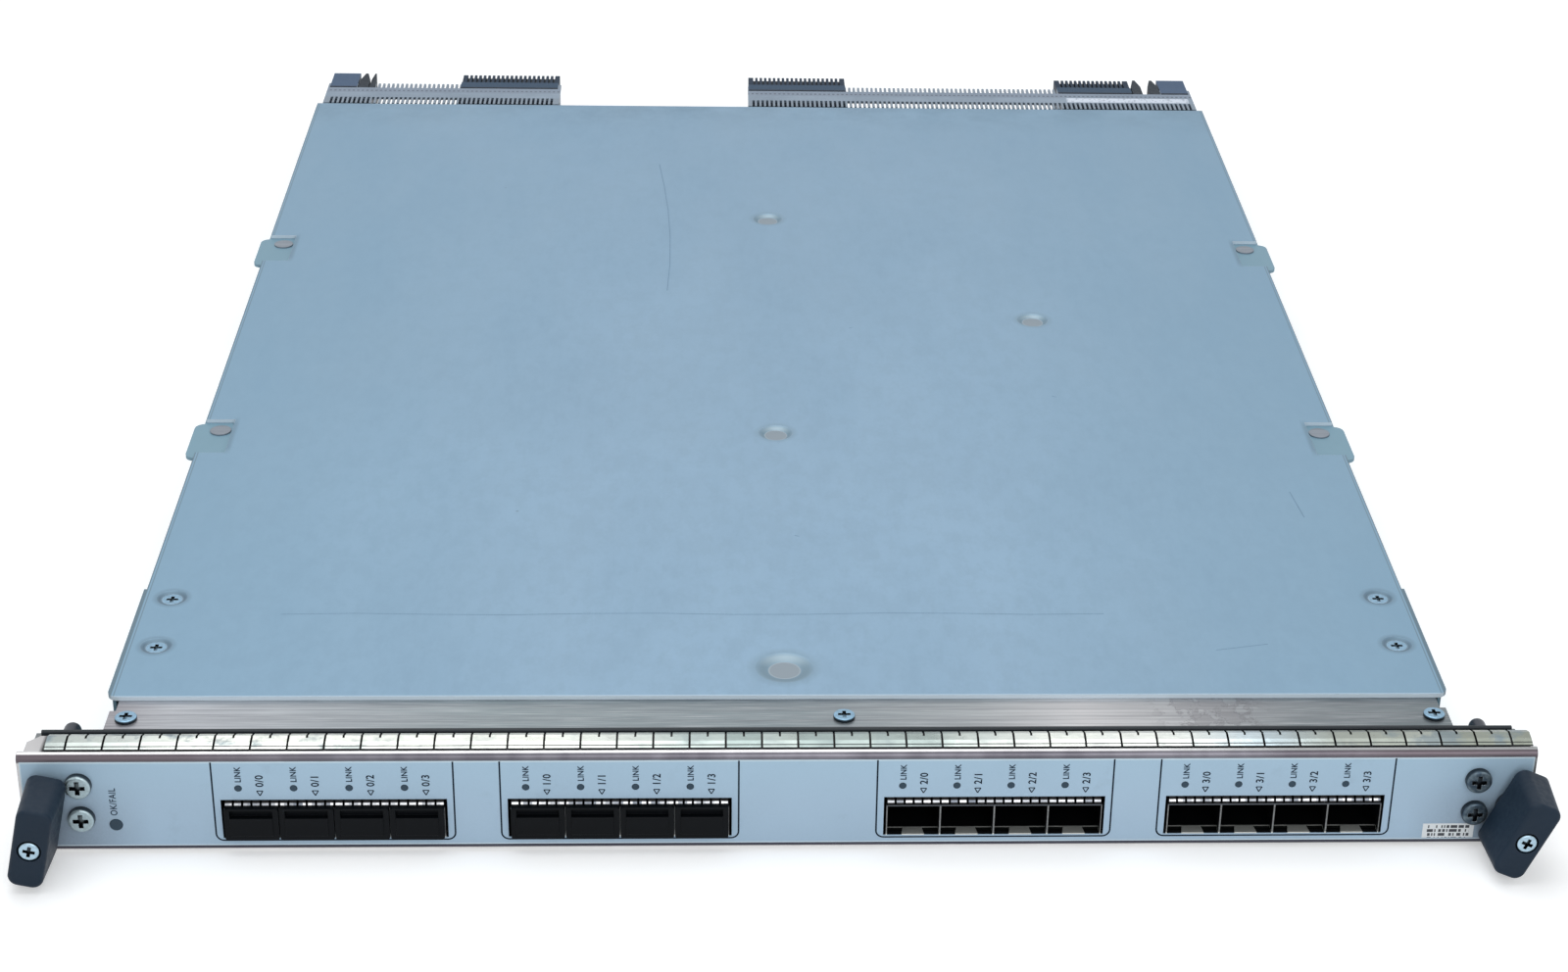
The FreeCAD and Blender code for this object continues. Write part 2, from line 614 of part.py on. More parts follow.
def ear_rivets():
    """Low round rivet on each of the tray's ears."""
    shapes = []
    for side in SIDES.values():
        for y in EAR_CENTRES:
            shapes.append(post(side * (TRAY_HALF - RIVET_IN), y + RIVET_BACK, RIVET_RADIUS,
                               (DECK, DECK + RIVET_HEIGHT)))
    return shapes


# ------------------------------------------------------------------ ports
def port_cage(centre):
    """Four ports in one row: thin walls, dividers and a latch tongue in the short
    opening of each floor."""
    front = -CAGE_PROUD
    back = front + CAGE_DEPTH
    left, right = centre - CAGE_HALF, centre + CAGE_HALF
    under = BOARD_TOP
    shape = box((left, right), (front, back), (under, CAGE_TOP))
    tools = []
    bays = []
    for bay_left in port_lefts(centre):
        x = (bay_left + CAGE_SHEET / 2.0 + 0.05, bay_left + PORT_PITCH - CAGE_SHEET / 2.0 - 0.05)
        if bay_left == left:
            x = (left + CAGE_SHEET, x[1])
        bays.append(x)
        tools.append(box(x, (front - 1, back - CAGE_SHEET),
                         (under + CAGE_SHEET, CAGE_TOP - CAGE_SHEET)))
        tools.append(box(x, (front - 1, front + CAGE_WINDOW), (under - 1, under + CAGE_SHEET)))
        tools.append(box(centred((x[0] + x[1]) / 2.0, HOST_WIDTH / 2.0 + 0.3),
                         (back - CAGE_SHEET - HOST_DEPTH - 1.2, back - CAGE_SHEET),
                         (under - 1, under + CAGE_SHEET)))
    shape = cut_all(shape, tools)
    for x in bays:
        middle = (x[0] + x[1]) / 2.0
        outline = [(middle - TONGUE_WIDTH / 2.0, front), (middle + TONGUE_WIDTH / 2.0, front),
                   (middle + TONGUE_TIP / 2.0, front + CAGE_WINDOW),
                   (middle - TONGUE_TIP / 2.0, front + CAGE_WINDOW)]
        shape = shape.fuse(plate(outline, (under, under + CAGE_SHEET)))
    return shape.removeSplitter()


def spring_strip(centre):
    """Band on the cage's mouth with bowed fingers that reach up to the cutout's edge."""
    front = -CAGE_PROUD
    half = FINGER_SHEET / 2.0
    foot = CAGE_TOP + FINGER_SHEET * 0.6
    peak = CUTOUT_HIGH - FINGER_CLEARANCE - half
    shape = box(centred(centre, CAGE_HALF), (front, front + FINGER_BAND),
                (CAGE_TOP, CAGE_TOP + FINGER_SHEET))
    path = [(front + half, foot), (front + FINGER_DEPTH * 0.28, peak),
            (front + FINGER_DEPTH * 0.42, peak), (front + FINGER_DEPTH, foot)]
    outline = strip(path, FINGER_SHEET)
    pitch = PORT_PITCH / FINGERS_PER_PORT
    first = centre - CAGE_HALF + pitch / 2.0
    fingers = [bar_along_x(outline, centred(first + pitch * index, FINGER_WIDTH / 2.0))
               for index in range(FINGERS_PER_PORT * PORTS_PER_CAGE)]
    return shape.fuse(Part.makeCompound(fingers)).removeSplitter()


def host_connectors():
    """Board connector at the back of each port."""
    back = -CAGE_PROUD + CAGE_DEPTH - CAGE_SHEET - 0.6
    shapes = []
    for centre in CAGE_CENTRES:
        for left in port_lefts(centre):
            x = centred(left + PORT_PITCH / 2.0, HOST_WIDTH / 2.0)
            body = box(x, (back - HOST_DEPTH, back), (BOARD_TOP, BOARD_TOP + HOST_HEIGHT))
            mouth = box((x[0] + 1.2, x[1] - 1.2), (back - HOST_DEPTH - 1, back - HOST_DEPTH * 0.35),
                        centred(BOARD_TOP + HOST_HEIGHT * 0.58, 0.75))
            shapes.append(body.cut(mouth))
    return shapes


def dust_plug(left):
    """Moulded plug: a flange with a raised pad and a finger grip, and a plain body
    that fills the port."""
    middle = left + PORT_PITCH / 2.0
    low = PLUG_LOW
    high = low + PLUG_HEIGHT
    seat = -CAGE_PROUD - PLUG_SEAT
    face = seat - PLUG_FLANGE
    half = (PORT_PITCH - PLUG_GAP) / 2.0
    flange = box(centred(middle, half), (face, seat), (low, high))
    flange = round_edges(flange, PLUG_CORNER,
                         lambda point: abs(abs(point.x - middle) - half) < 0.01
                         and abs(point.y - (face + seat) / 2.0) < 0.01)
    pad_top = high - 0.5 - PLUG_GRIP_HEIGHT
    pad_half = PLUG_PAD_WIDTH / 2.0
    pad = box(centred(middle, pad_half), (face - PLUG_PAD, face + 0.5),
              (pad_top - PLUG_PAD_HEIGHT, pad_top))
    pad = round_edges(pad, PLUG_PAD * 0.8, lambda point: point.y < face - PLUG_PAD + 0.01)
    body_half = (PORT_PITCH - CAGE_SHEET) / 2.0 - PLUG_CLEARANCE - 0.05
    body = box(centred(middle, body_half), (seat - 0.5, seat - 0.5 + PLUG_LENGTH),
               (BOARD_TOP + CAGE_SHEET + PLUG_CLEARANCE, CAGE_TOP - CAGE_SHEET - PLUG_CLEARANCE))
    grip = box(centred(middle, pad_half), (face - 1, face + PLUG_GRIP_DEPTH),
               (pad_top, pad_top + PLUG_GRIP_HEIGHT))
    return flange.fuse(pad).fuse(body).removeSplitter().cut(grip)


def light_pipe_bars():
    """Clear moulding over each cage: four lamp tips on a cross bar."""
    shapes = []
    for centre in CAGE_CENTRES:
        lamps = [left + LAMP_FROM_PORT for left in port_lefts(centre)]
        bar = (LAMP_DEPTH - 3.0, LAMP_DEPTH)
        z = (LAMP_HEIGHT - LAMP_RADIUS - 0.3, LAMP_HEIGHT + LAMP_RADIUS + 0.3)
        shape = box((lamps[0] - 2.0, lamps[-1] + 2.0), bar, z)
        for x in lamps:
            shape = shape.fuse(rod(x, LAMP_HEIGHT, LAMP_RADIUS, (OVERLAY_FRONT, bar[0] + 0.5)))
            shape = shape.fuse(box(centred(x, 1.0), bar, (CAGE_TOP, z[0] + 0.5)))
        shapes.append(shape.removeSplitter())
    return shapes


def status_light_pipe():
    """Clear moulding from the main board to the round status lamp."""
    tip = OVERLAY_FRONT - 0.2
    shape = rod(STATUS_X, STATUS_Z, STATUS_RADIUS, (tip, STATUS_DEPTH))
    foot = box(centred(STATUS_X, STATUS_RADIUS * 0.8), (STATUS_DEPTH - 4.0, STATUS_DEPTH),
               (BOARD_TOP, STATUS_Z))
    return shape.fuse(foot).removeSplitter()


# ------------------------------------------------------------------ ejectors
def ejector_block(side):
    """Metal block behind each end of the faceplate: takes the faceplate screws and
    carries the jack screw's bushing."""
    x = sorted((side * TRAY_HALF, side * (TRAY_HALF + BLOCK_WIDTH)))
    y = (BLOCK_FRONT, BLOCK_BACK)
    shape = box(x, y, (BLOCK_LOW, BLOCK_HIGH))
    tools = [rod(side * EJECTOR_X, EJECTOR_Z, BUSHING_RADIUS, (y[0] - 1, y[1] + 1))]
    for z in SCREW_HEIGHTS:
        tools.append(rod(side * SCREW_X, z, SCREW_RADIUS + SCREW_CLEARANCE,
                         (y[0] - 1, SCREW_LENGTH + 1)))
    return cut_all(shape, tools)


def ejector_bushing(side):
    """Flanged sleeve that the jack screw turns in."""
    x = side * EJECTOR_X
    front = OVERLAY_FRONT - BUSHING_FLANGE
    shape = rod(x, EJECTOR_Z, BUSHING_FLANGE_RADIUS, (front, OVERLAY_FRONT))
    shape = shape.fuse(rod(x, EJECTOR_Z, BUSHING_RADIUS, (OVERLAY_FRONT, BLOCK_BACK)))
    bore = rod(x, EJECTOR_Z, JOURNAL_RADIUS + JOURNAL_CLEARANCE, (front - 1, BLOCK_BACK + 1))
    return shape.cut(bore)


def ejector_shaft(side):
    """Jack screw: spigot in the handle, collar, journal and a domed free end."""
    x = side * EJECTOR_X
    collar_back = OVERLAY_FRONT - BUSHING_FLANGE - AXIAL_PLAY
    spigot_front = HANDLE_BACK - HANDLE_LENGTH + HANDLE_SEAT_DEPTH + HANDLE_WEB
    shape = rod(x, EJECTOR_Z, SPIGOT_RADIUS, (spigot_front, HANDLE_BACK))
    shape = shape.fuse(rod(x, EJECTOR_Z, COLLAR_RADIUS, (HANDLE_BACK, collar_back)))
    shape = shape.fuse(rod(x, EJECTOR_Z, JOURNAL_RADIUS, (collar_back, CLIP_BACK + 0.6)))
    tip = rod(x, EJECTOR_Z, PIN_RADIUS, (CLIP_BACK, PIN_TIP))
    tip = round_edges(tip, PIN_DOME, lambda middle: middle.y > PIN_TIP - 0.01)
    thread = rod(x, EJECTOR_Z, HANDLE_SCREW_RADIUS,
                 (spigot_front - 1, spigot_front + HANDLE_SCREW_LENGTH - HANDLE_WEB + 0.5))
    return shape.fuse(tip).cut(thread)


def ejector_clip(side):
    """Retaining ring on the jack screw, behind the block."""
    x = side * EJECTOR_X
    y = (CLIP_FRONT, CLIP_BACK)
    ring = rod(x, EJECTOR_Z, CLIP_RADIUS, y)
    ring = ring.cut(rod(x, EJECTOR_Z, JOURNAL_RADIUS, (y[0] - 1, y[1] + 1)))
    mouth = box(centred(x, JOURNAL_RADIUS * 0.6), (y[0] - 1, y[1] + 1),
                (EJECTOR_Z - CLIP_RADIUS - 1, EJECTOR_Z))
    return ring.cut(mouth)


def handle_section(y, half, up, down):
    """Rounded rectangle about the jack screw's axis at one depth."""
    corner = HANDLE_CORNER
    centres = ((half - corner, up - corner, 0), (-half + corner, up - corner, 90),
               (-half + corner, -down + corner, 180), (half - corner, -down + corner, 270))
    diagonal = corner * math.sqrt(0.5)
    edges = []
    arcs = []
    for cx, cz, start in centres:
        ends = []
        for angle in (start, start + 90):
            turn = math.radians(angle)
            ends.append(Vector(cx + corner * math.cos(turn), y, cz + corner * math.sin(turn)))
        turn = math.radians(start + 45)
        middle = Vector(cx + diagonal * math.cos(turn) * math.sqrt(2.0), y,
                        cz + diagonal * math.sin(turn) * math.sqrt(2.0))
        arcs.append((ends[0], middle, ends[1]))
    for index, (first, middle, last) in enumerate(arcs):
        edges.append(Part.Arc(first, middle, last).toShape())
        following = arcs[(index + 1) % len(arcs)][0]
        edges.append(Part.makeLine(last, following))
    return Part.Wire(edges)


def ejector_handle(name):
    """Tapered grip on the jack screw, with a seat for its screw in the front face."""
    front = HANDLE_BACK - HANDLE_LENGTH
    rear_wire = handle_section(HANDLE_BACK, HANDLE_HALF_WIDTH[0], HANDLE_UP[0], HANDLE_DOWN[0])
    front_wire = handle_section(front, HANDLE_HALF_WIDTH[1], HANDLE_UP[1], HANDLE_DOWN[1])
    shape = Part.makeLoft([front_wire, rear_wire], True, True)
    shape = round_edges(shape, HANDLE_SOFT_EDGE, lambda middle: middle.y < front + 0.01)
    seat = front + HANDLE_SEAT_DEPTH
    shape = shape.cut(rod(0, 0, HANDLE_SEAT_RADIUS, (front - 1, seat)))
    shape = shape.cut(rod(0, 0, SPIGOT_RADIUS, (seat + HANDLE_WEB, HANDLE_BACK + 1)))
    shape = shape.cut(rod(0, 0, HANDLE_SCREW_RADIUS + SCREW_CLEARANCE,
                          (seat - 1, seat + HANDLE_WEB + 1)))
    shape.rotate(Vector(0, 0, 0), Vector(0, 1, 0), HANDLE_ROLLS[name])
    shape.translate(Vector(SIDES[name] * EJECTOR_X, 0, EJECTOR_Z))
    return shape


def ejector_screw(name):
    """Screw that holds the handle on the jack screw."""
    seat = HANDLE_BACK - HANDLE_LENGTH + HANDLE_SEAT_DEPTH
    shape = screw(Vector(0, seat, 0), Vector(0, 1, 0),
                  (HANDLE_SCREW_HEAD, HANDLE_SCREW_HEAD_HEIGHT),
                  (HANDLE_SCREW_RADIUS, HANDLE_SCREW_LENGTH))
    shape.rotate(Vector(0, 0, 0), Vector(0, 1, 0), HANDLE_ROLLS[name])
    shape.translate(Vector(SIDES[name] * EJECTOR_X, 0, EJECTOR_Z))
    return shape


# ------------------------------------------------------------------ main board and its parts
def board_screw_places():
    return [(x, y) for x in BOARD_SCREWS_X for y in BOARD_SCREWS_Y]


def main_board():
    shape = box((-BOARD_HALF, BOARD_HALF), (BOARD_FRONT, BOARD_REAR), (BOARD_UNDER, BOARD_TOP))
    holes = [post(x, y, BOARD_SCREW_RADIUS + SCREW_CLEARANCE, (BOARD_UNDER - 1, BOARD_TOP + 1))
             for x, y in board_screw_places()]
    return cut_all(shape, holes)


def board_standoffs():
    return [post(x, y, STANDOFF_RADIUS, (TRAY_SHEET, BOARD_UNDER)).cut(
                post(x, y, BOARD_SCREW_RADIUS + SCREW_CLEARANCE, (TRAY_SHEET - 1, BOARD_UNDER + 1)))
            for x, y in board_screw_places()]


def board_screws():
    length = BOARD_THICK + BOARD_LIFT
    return [screw(Vector(x, y, BOARD_TOP), Vector(0, 0, -1),
                  (BOARD_SCREW_HEAD, BOARD_SCREW_HEAD_HEIGHT), (BOARD_SCREW_RADIUS, length))
            for x, y in board_screw_places()]


def on_board(x, y, size, height):
    """A block standing on the main board."""
    return box(centred(x, size[0] / 2.0), centred(y, size[1] / 2.0),
               (BOARD_TOP, BOARD_TOP + height))


def forwarding_chips():
    return [on_board(x, y, (CHIP_SIZE, CHIP_SIZE), CHIP_HEIGHT) for x, y in HEAT_SINKS]


def heat_sinks():
    """Finned heat sink on each forwarding chip, fins along the air flow."""
    shapes = []
    low = BOARD_TOP + CHIP_HEIGHT
    high = DECK - HEAT_SINK_CLEARANCE
    half = HEAT_SINK_SIZE / 2.0
    count = int((HEAT_SINK_SIZE - FIN_THICK) / FIN_PITCH) + 1
    for x, y in HEAT_SINKS:
        shape = box(centred(x, half), centred(y, half), (low, low + HEAT_SINK_BASE))
        first = y - FIN_PITCH * (count - 1) / 2.0
        fins = [box(centred(x, half), centred(first + FIN_PITCH * index, FIN_THICK / 2.0),
                    (low + HEAT_SINK_BASE / 2.0, high)) for index in range(count)]
        shapes.append(shape.fuse(Part.makeCompound(fins)).removeSplitter())
    return shapes


def memory_chips():
    """A row of memory chips on each side of every forwarding chip."""
    shapes = []
    for x, y in HEAT_SINKS:
        for side in (-1, 1):
            for step in (-1, 0, 1):
                shapes.append(on_board(x + side * MEMORY_FROM_CHIP, y + step * (MEMORY_SIZE[1]
                                       + MEMORY_PITCH * 0.25), MEMORY_SIZE, MEMORY_HEIGHT))
    return shapes


def power_modules():
    return [on_board(x, y, BRICK_SIZE, BRICK_HEIGHT) for x, y in BRICKS]


def inductors():
    return [on_board(x, INDUCTOR_Y, (INDUCTOR_SIZE, INDUCTOR_SIZE), INDUCTOR_HEIGHT)
            for x in INDUCTOR_ROW]


def capacitors():
    return [post(x, CAPACITOR_Y, CAPACITOR_RADIUS, (BOARD_TOP, BOARD_TOP + CAPACITOR_HEIGHT))
            for x in CAPACITOR_ROW]


def phy_chips():
    return [on_board(centre, PHY_Y, (PHY_SIZE, PHY_SIZE), PHY_HEIGHT) for centre in CAGE_CENTRES]


# ------------------------------------------------------------------ rear connectors
def comb_gaps(span, margin):
    """Centres of the gaps of a comb with the contact pitch, evenly placed in a span."""
    room = span[1] - span[0] - 2.0 * margin
    count = int(room / CONTACT_PITCH)
    first = (span[0] + span[1]) / 2.0 - CONTACT_PITCH * (count - 1) / 2.0
    return [first + CONTACT_PITCH * index for index in range(count)]


def stiffener(name):
    """Comb plate over a row of connectors, with teeth along its front and rear edges
    and a leg down to the main board at each end."""
    span = STIFFENER_SPANS[name]
    front, rear = STIFFENER_PLATE
    nose = front - STIFFENER_FRONT_TEETH
    tail = rear + STIFFENER_REAR_TEETH
    under = STIFFENER_UNDER
    shape = box(span, (nose, tail), (under, CONNECTOR_TOP))
    z = (under - 1, CONNECTOR_TOP + 1)
    half = TOOTH_GAP / 2.0
    gaps = []
    for x in comb_gaps(span, MODULE_WALL):
        gaps.append(box(centred(x, half), (nose - 1, front), z))
        gaps.append(box(centred(x, half), (rear, tail + 1), z))
    for module in list(MODULE_SPANS.values()) + list(GUIDE_SPANS.values()) + blade_spans(name):
        gaps.append(box(module, (rear, tail + 1), z))
    shape = cut_all(shape, gaps)
    for x in ((span[0], span[0] + MODULE_WALL), (span[1] - MODULE_WALL, span[1])):
        if not any(low < x[1] and x[0] < high for low, high in carried_spans()):
            shape = shape.fuse(box(x, (front, BOARD_REAR), (BOARD_TOP, under + 0.5)))
    return shape.removeSplitter()


def blade_spans(name):
    """The stretch of a stiffener that one blade foot takes up."""
    lefts = [x - width / 2.0 for x, width in BLADES[name]]
    rights = [x + width / 2.0 for x, width in BLADES[name]]
    return [(min(lefts) - BLADE_FOOT_MARGIN / 2.0, max(rights) + BLADE_FOOT_MARGIN / 2.0)]


def carried_spans():
    return (list(MODULE_SPANS.values()) + list(GUIDE_SPANS.values())
            + blade_spans("left") + blade_spans("right"))


def seam(span):
    """The groove cut along the front of what stands behind a stiffener."""
    collar = STIFFENER_PLATE[1]
    return box((span[0] - 1, span[1] + 1), (collar - 1, collar + SEAM),
               (CONNECTOR_TOP - SEAM, CONNECTOR_TOP + 1))


def signal_module(name):
    """Backplane connector: wafers under the stiffener, a plain collar, and a lower
    shroud with a slit for each wafer."""
    span = MODULE_SPANS[name]
    collar = STIFFENER_PLATE[1]
    step_top = CONNECTOR_TOP - MODULE_STEP_DROP
    shape = box(span, (MODULE_BODY_FRONT, collar + 0.5), (BOARD_TOP, STIFFENER_UNDER))
    shape = shape.fuse(box(span, (collar, MODULE_STEP), (BOARD_TOP, CONNECTOR_TOP)))
    shape = shape.fuse(box(span, (MODULE_STEP - 0.5, MODULE_REAR), (BOARD_TOP, step_top)))
    tools = [seam(span)]
    for x in comb_gaps(span, MODULE_WALL):
        slit = centred(x, MODULE_SLIT / 2.0)
        tools.append(box(slit, (MODULE_REAR - MODULE_SLIT_DEPTH, MODULE_REAR + 1),
                         (BOARD_TOP + MODULE_WALL, step_top + 1)))
        tools.append(box(slit, (MODULE_STEP + SEAM, MODULE_REAR),
                         (step_top - MODULE_GROOVE, step_top + 1)))
    return cut_all(shape.removeSplitter(), tools)


def guide_block(name):
    """Guide socket at the outer end of each connector row."""
    span = GUIDE_SPANS[name]
    middle = (span[0] + span[1]) / 2.0
    collar = STIFFENER_PLATE[1]
    shape = box(span, (MODULE_BODY_FRONT, collar + 0.5), (BOARD_TOP, STIFFENER_UNDER))
    shape = shape.fuse(box(span, (collar, GUIDE_REAR), (BOARD_TOP, CONNECTOR_TOP)))
    bore = rod(middle, GUIDE_Z, GUIDE_RADIUS, (GUIDE_REAR - GUIDE_DEPTH, GUIDE_REAR + 1))
    lead = Part.makeCone(GUIDE_RADIUS, GUIDE_RADIUS + 1.0, 1.0,
                         Vector(middle, GUIDE_REAR - 1.0, GUIDE_Z), Vector(0, 1, 0))
    return cut_all(shape.removeSplitter(), [seam(span), bore, lead])


def alignment_blades(name):
    """Two pointed blades on one foot, beside the guide socket."""
    span = blade_spans(name)[0]
    collar = STIFFENER_PLATE[1]
    foot_top = CONNECTOR_TOP - BLADE_HEIGHT
    shape = box(span, (MODULE_BODY_FRONT, collar), (BOARD_TOP, STIFFENER_UNDER))
    shape = shape.fuse(box(span, (collar - 0.5, collar + 3.0), (BOARD_TOP, foot_top + 1.0)))
    for x, width in BLADES[name]:
        half = width / 2.0
        shoulder = BLADE_TIP - BLADE_POINT
        outline = [(x - half, collar - 0.5), (x + half, collar - 0.5), (x + half, shoulder),
                   (x + half * 0.25, BLADE_TIP), (x - half * 0.25, BLADE_TIP),
                   (x - half, shoulder)]
        blade = plate(outline, (foot_top, CONNECTOR_TOP))
        keep = box((x - half, x + half), (collar, BLADE_TIP), (foot_top, CONNECTOR_TOP))
        shape = shape.fuse(blade.common(keep))
    return shape.removeSplitter()


# ------------------------------------------------------------------ writing the nodes
def save(name, made):
    """Write one node, a single solid or a group of separate like solids."""
    shape = Part.makeCompound(made) if isinstance(made, list) else made
    shape = shape.copy()
    shape.translate(ORIGIN.negative())
    solids = len(shape.Solids)
    if not shape.isValid() or solids != (len(made) if isinstance(made, list) else 1):
        print("check", name, "valid", shape.isValid(), "solids", solids)
    shape.exportStep(os.path.join("parts", name + ".step"))


def build():
    os.makedirs("parts", exist_ok=True)
    save("faceplate", faceplate())
    save("faceplate_film", faceplate_film())
    save("blank_plate", blank_plate())
    save("faceplate_screws", faceplate_screws())
    save("emi_gasket", gasket())
    save("base_tray", tray())
    save("front_bracket", front_bracket())
    save("bracket_posts", bracket_posts())
    save("bracket_screws", bracket_screws())
    save("top_cover", cover())
    save("cover_screws", cover_screws())
    save("ear_rivets", ear_rivets())
    for number, centre in enumerate(CAGE_CENTRES, 1):
        save("port_cage_%d" % number, port_cage(centre))
    save("cage_spring_strips", [spring_strip(centre) for centre in CAGE_CENTRES])
    save("port_connectors", host_connectors())
    plug_lefts = [left for cage in PLUGGED_CAGES for left in port_lefts(CAGE_CENTRES[cage])]
    for number, left in enumerate(plug_lefts, 1):
        save("dust_plug_%d" % number, dust_plug(left))
    save("light_pipes", light_pipe_bars())
    save("status_light_pipe", status_light_pipe())
    for name, side in SIDES.items():
        save("ejector_block_" + name, ejector_block(side))
        save("ejector_bushing_" + name, ejector_bushing(side))
        save("ejector_shaft_" + name, ejector_shaft(side))
        save("ejector_clip_" + name, ejector_clip(side))
        save("ejector_handle_" + name, ejector_handle(name))
        save("ejector_screw_" + name, ejector_screw(name))
        save("connector_stiffener_" + name, stiffener(name))
        save("guide_block_" + name, guide_block(name))
        save("alignment_blades_" + name, alignment_blades(name))
    for name in MODULE_SPANS:
        save("signal_module_" + name, signal_module(name))
    save("main_board", main_board())
    save("board_standoffs", board_standoffs())
    save("board_screws", board_screws())
    save("forwarding_chips", forwarding_chips())
    save("heat_sinks", heat_sinks())
    save("memory_chips", memory_chips())
    save("power_modules", power_modules())
    save("inductors", inductors())
    save("capacitors", capacitors())
    save("phy_chips", phy_chips())


build()
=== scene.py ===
import math

import bmesh
import bpy
from mathutils import Matrix, Vector


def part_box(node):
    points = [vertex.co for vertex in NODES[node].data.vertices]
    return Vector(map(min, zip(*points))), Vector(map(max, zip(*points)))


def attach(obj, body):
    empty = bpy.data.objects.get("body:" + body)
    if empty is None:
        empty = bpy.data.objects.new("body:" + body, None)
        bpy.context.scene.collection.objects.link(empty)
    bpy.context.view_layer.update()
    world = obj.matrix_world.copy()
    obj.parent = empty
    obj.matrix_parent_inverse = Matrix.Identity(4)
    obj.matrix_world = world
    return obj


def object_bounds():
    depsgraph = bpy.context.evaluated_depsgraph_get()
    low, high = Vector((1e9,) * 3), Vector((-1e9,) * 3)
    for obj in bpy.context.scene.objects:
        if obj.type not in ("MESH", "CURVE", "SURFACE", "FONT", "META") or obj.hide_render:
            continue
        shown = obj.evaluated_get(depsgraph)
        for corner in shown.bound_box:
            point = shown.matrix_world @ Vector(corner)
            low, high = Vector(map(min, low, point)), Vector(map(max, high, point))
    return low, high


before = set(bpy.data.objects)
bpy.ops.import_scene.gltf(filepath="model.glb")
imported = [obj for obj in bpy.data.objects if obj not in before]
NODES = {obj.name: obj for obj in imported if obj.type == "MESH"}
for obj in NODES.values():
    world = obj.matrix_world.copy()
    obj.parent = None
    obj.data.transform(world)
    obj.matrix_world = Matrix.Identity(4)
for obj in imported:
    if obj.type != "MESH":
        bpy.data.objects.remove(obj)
CAD_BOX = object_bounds()
MM = 0.001


def numbered(name, count):
    return ["%s_%d" % (name, index) for index in range(1, count + 1)]


def pair(name):
    return [name + "_left", name + "_right"]


# ---------------------------------------------------------------- places, in metres
FRONT_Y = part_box("faceplate")[0].y
FILM_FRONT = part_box("faceplate_film")[0].y
FILM_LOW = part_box("faceplate_film")[0].z
FILM_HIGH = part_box("faceplate_film")[1].z
COVER_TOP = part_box("top_cover")[1].z
CAGES = numbered("port_cage", 4)
PORT_PITCH = 14.25 * MM
CONTACT_PITCH = 1.85 * MM
GASKET_PITCH = 9.435 * MM
GASKET_START = -185.9 * MM                 # left end of the gasket's first finger
COMB_SHIFT = 1.0                           # keeps the comb's places above zero

# ---------------------------------------------------------------- places, in millimetres
# A depth is behind the faceplate's front.
DIMPLES = ((0.0, 367.7, 3.6, 5.4), (89.8, 276.9, 3.6, 5.4), (0.0, 188.4, 3.6, 5.4),
           (0.0, 43.0, 4.5, 8.0))          # x, depth, flat radius, outer radius
SCREW_SINKS = [(side * 171.4, depth, 3.15, 4.3) for side in (-1, 1) for depth in (55.2, 82.0)]
EAR_DEPTHS = (184.0, 336.1)
EAR_PRESS_ACROSS = (168.9, 170.6)          # from the middle, on either side
EAR_PRESS_ALONG = (-9.5, 12.5)             # from the ear's depth
SIDE_LINES = ((178.1, 178.4, (96, 118, 130)), (178.9, 181.0, (84, 104, 114)))
FRONT_EDGE_HIGHLIGHT = (29.0, 28.7)                   # painted highlight on the cover's front edge, in depth


def behind(depth):
    """Y of a place this many millimetres behind the faceplate's front."""
    return FRONT_Y + depth * MM


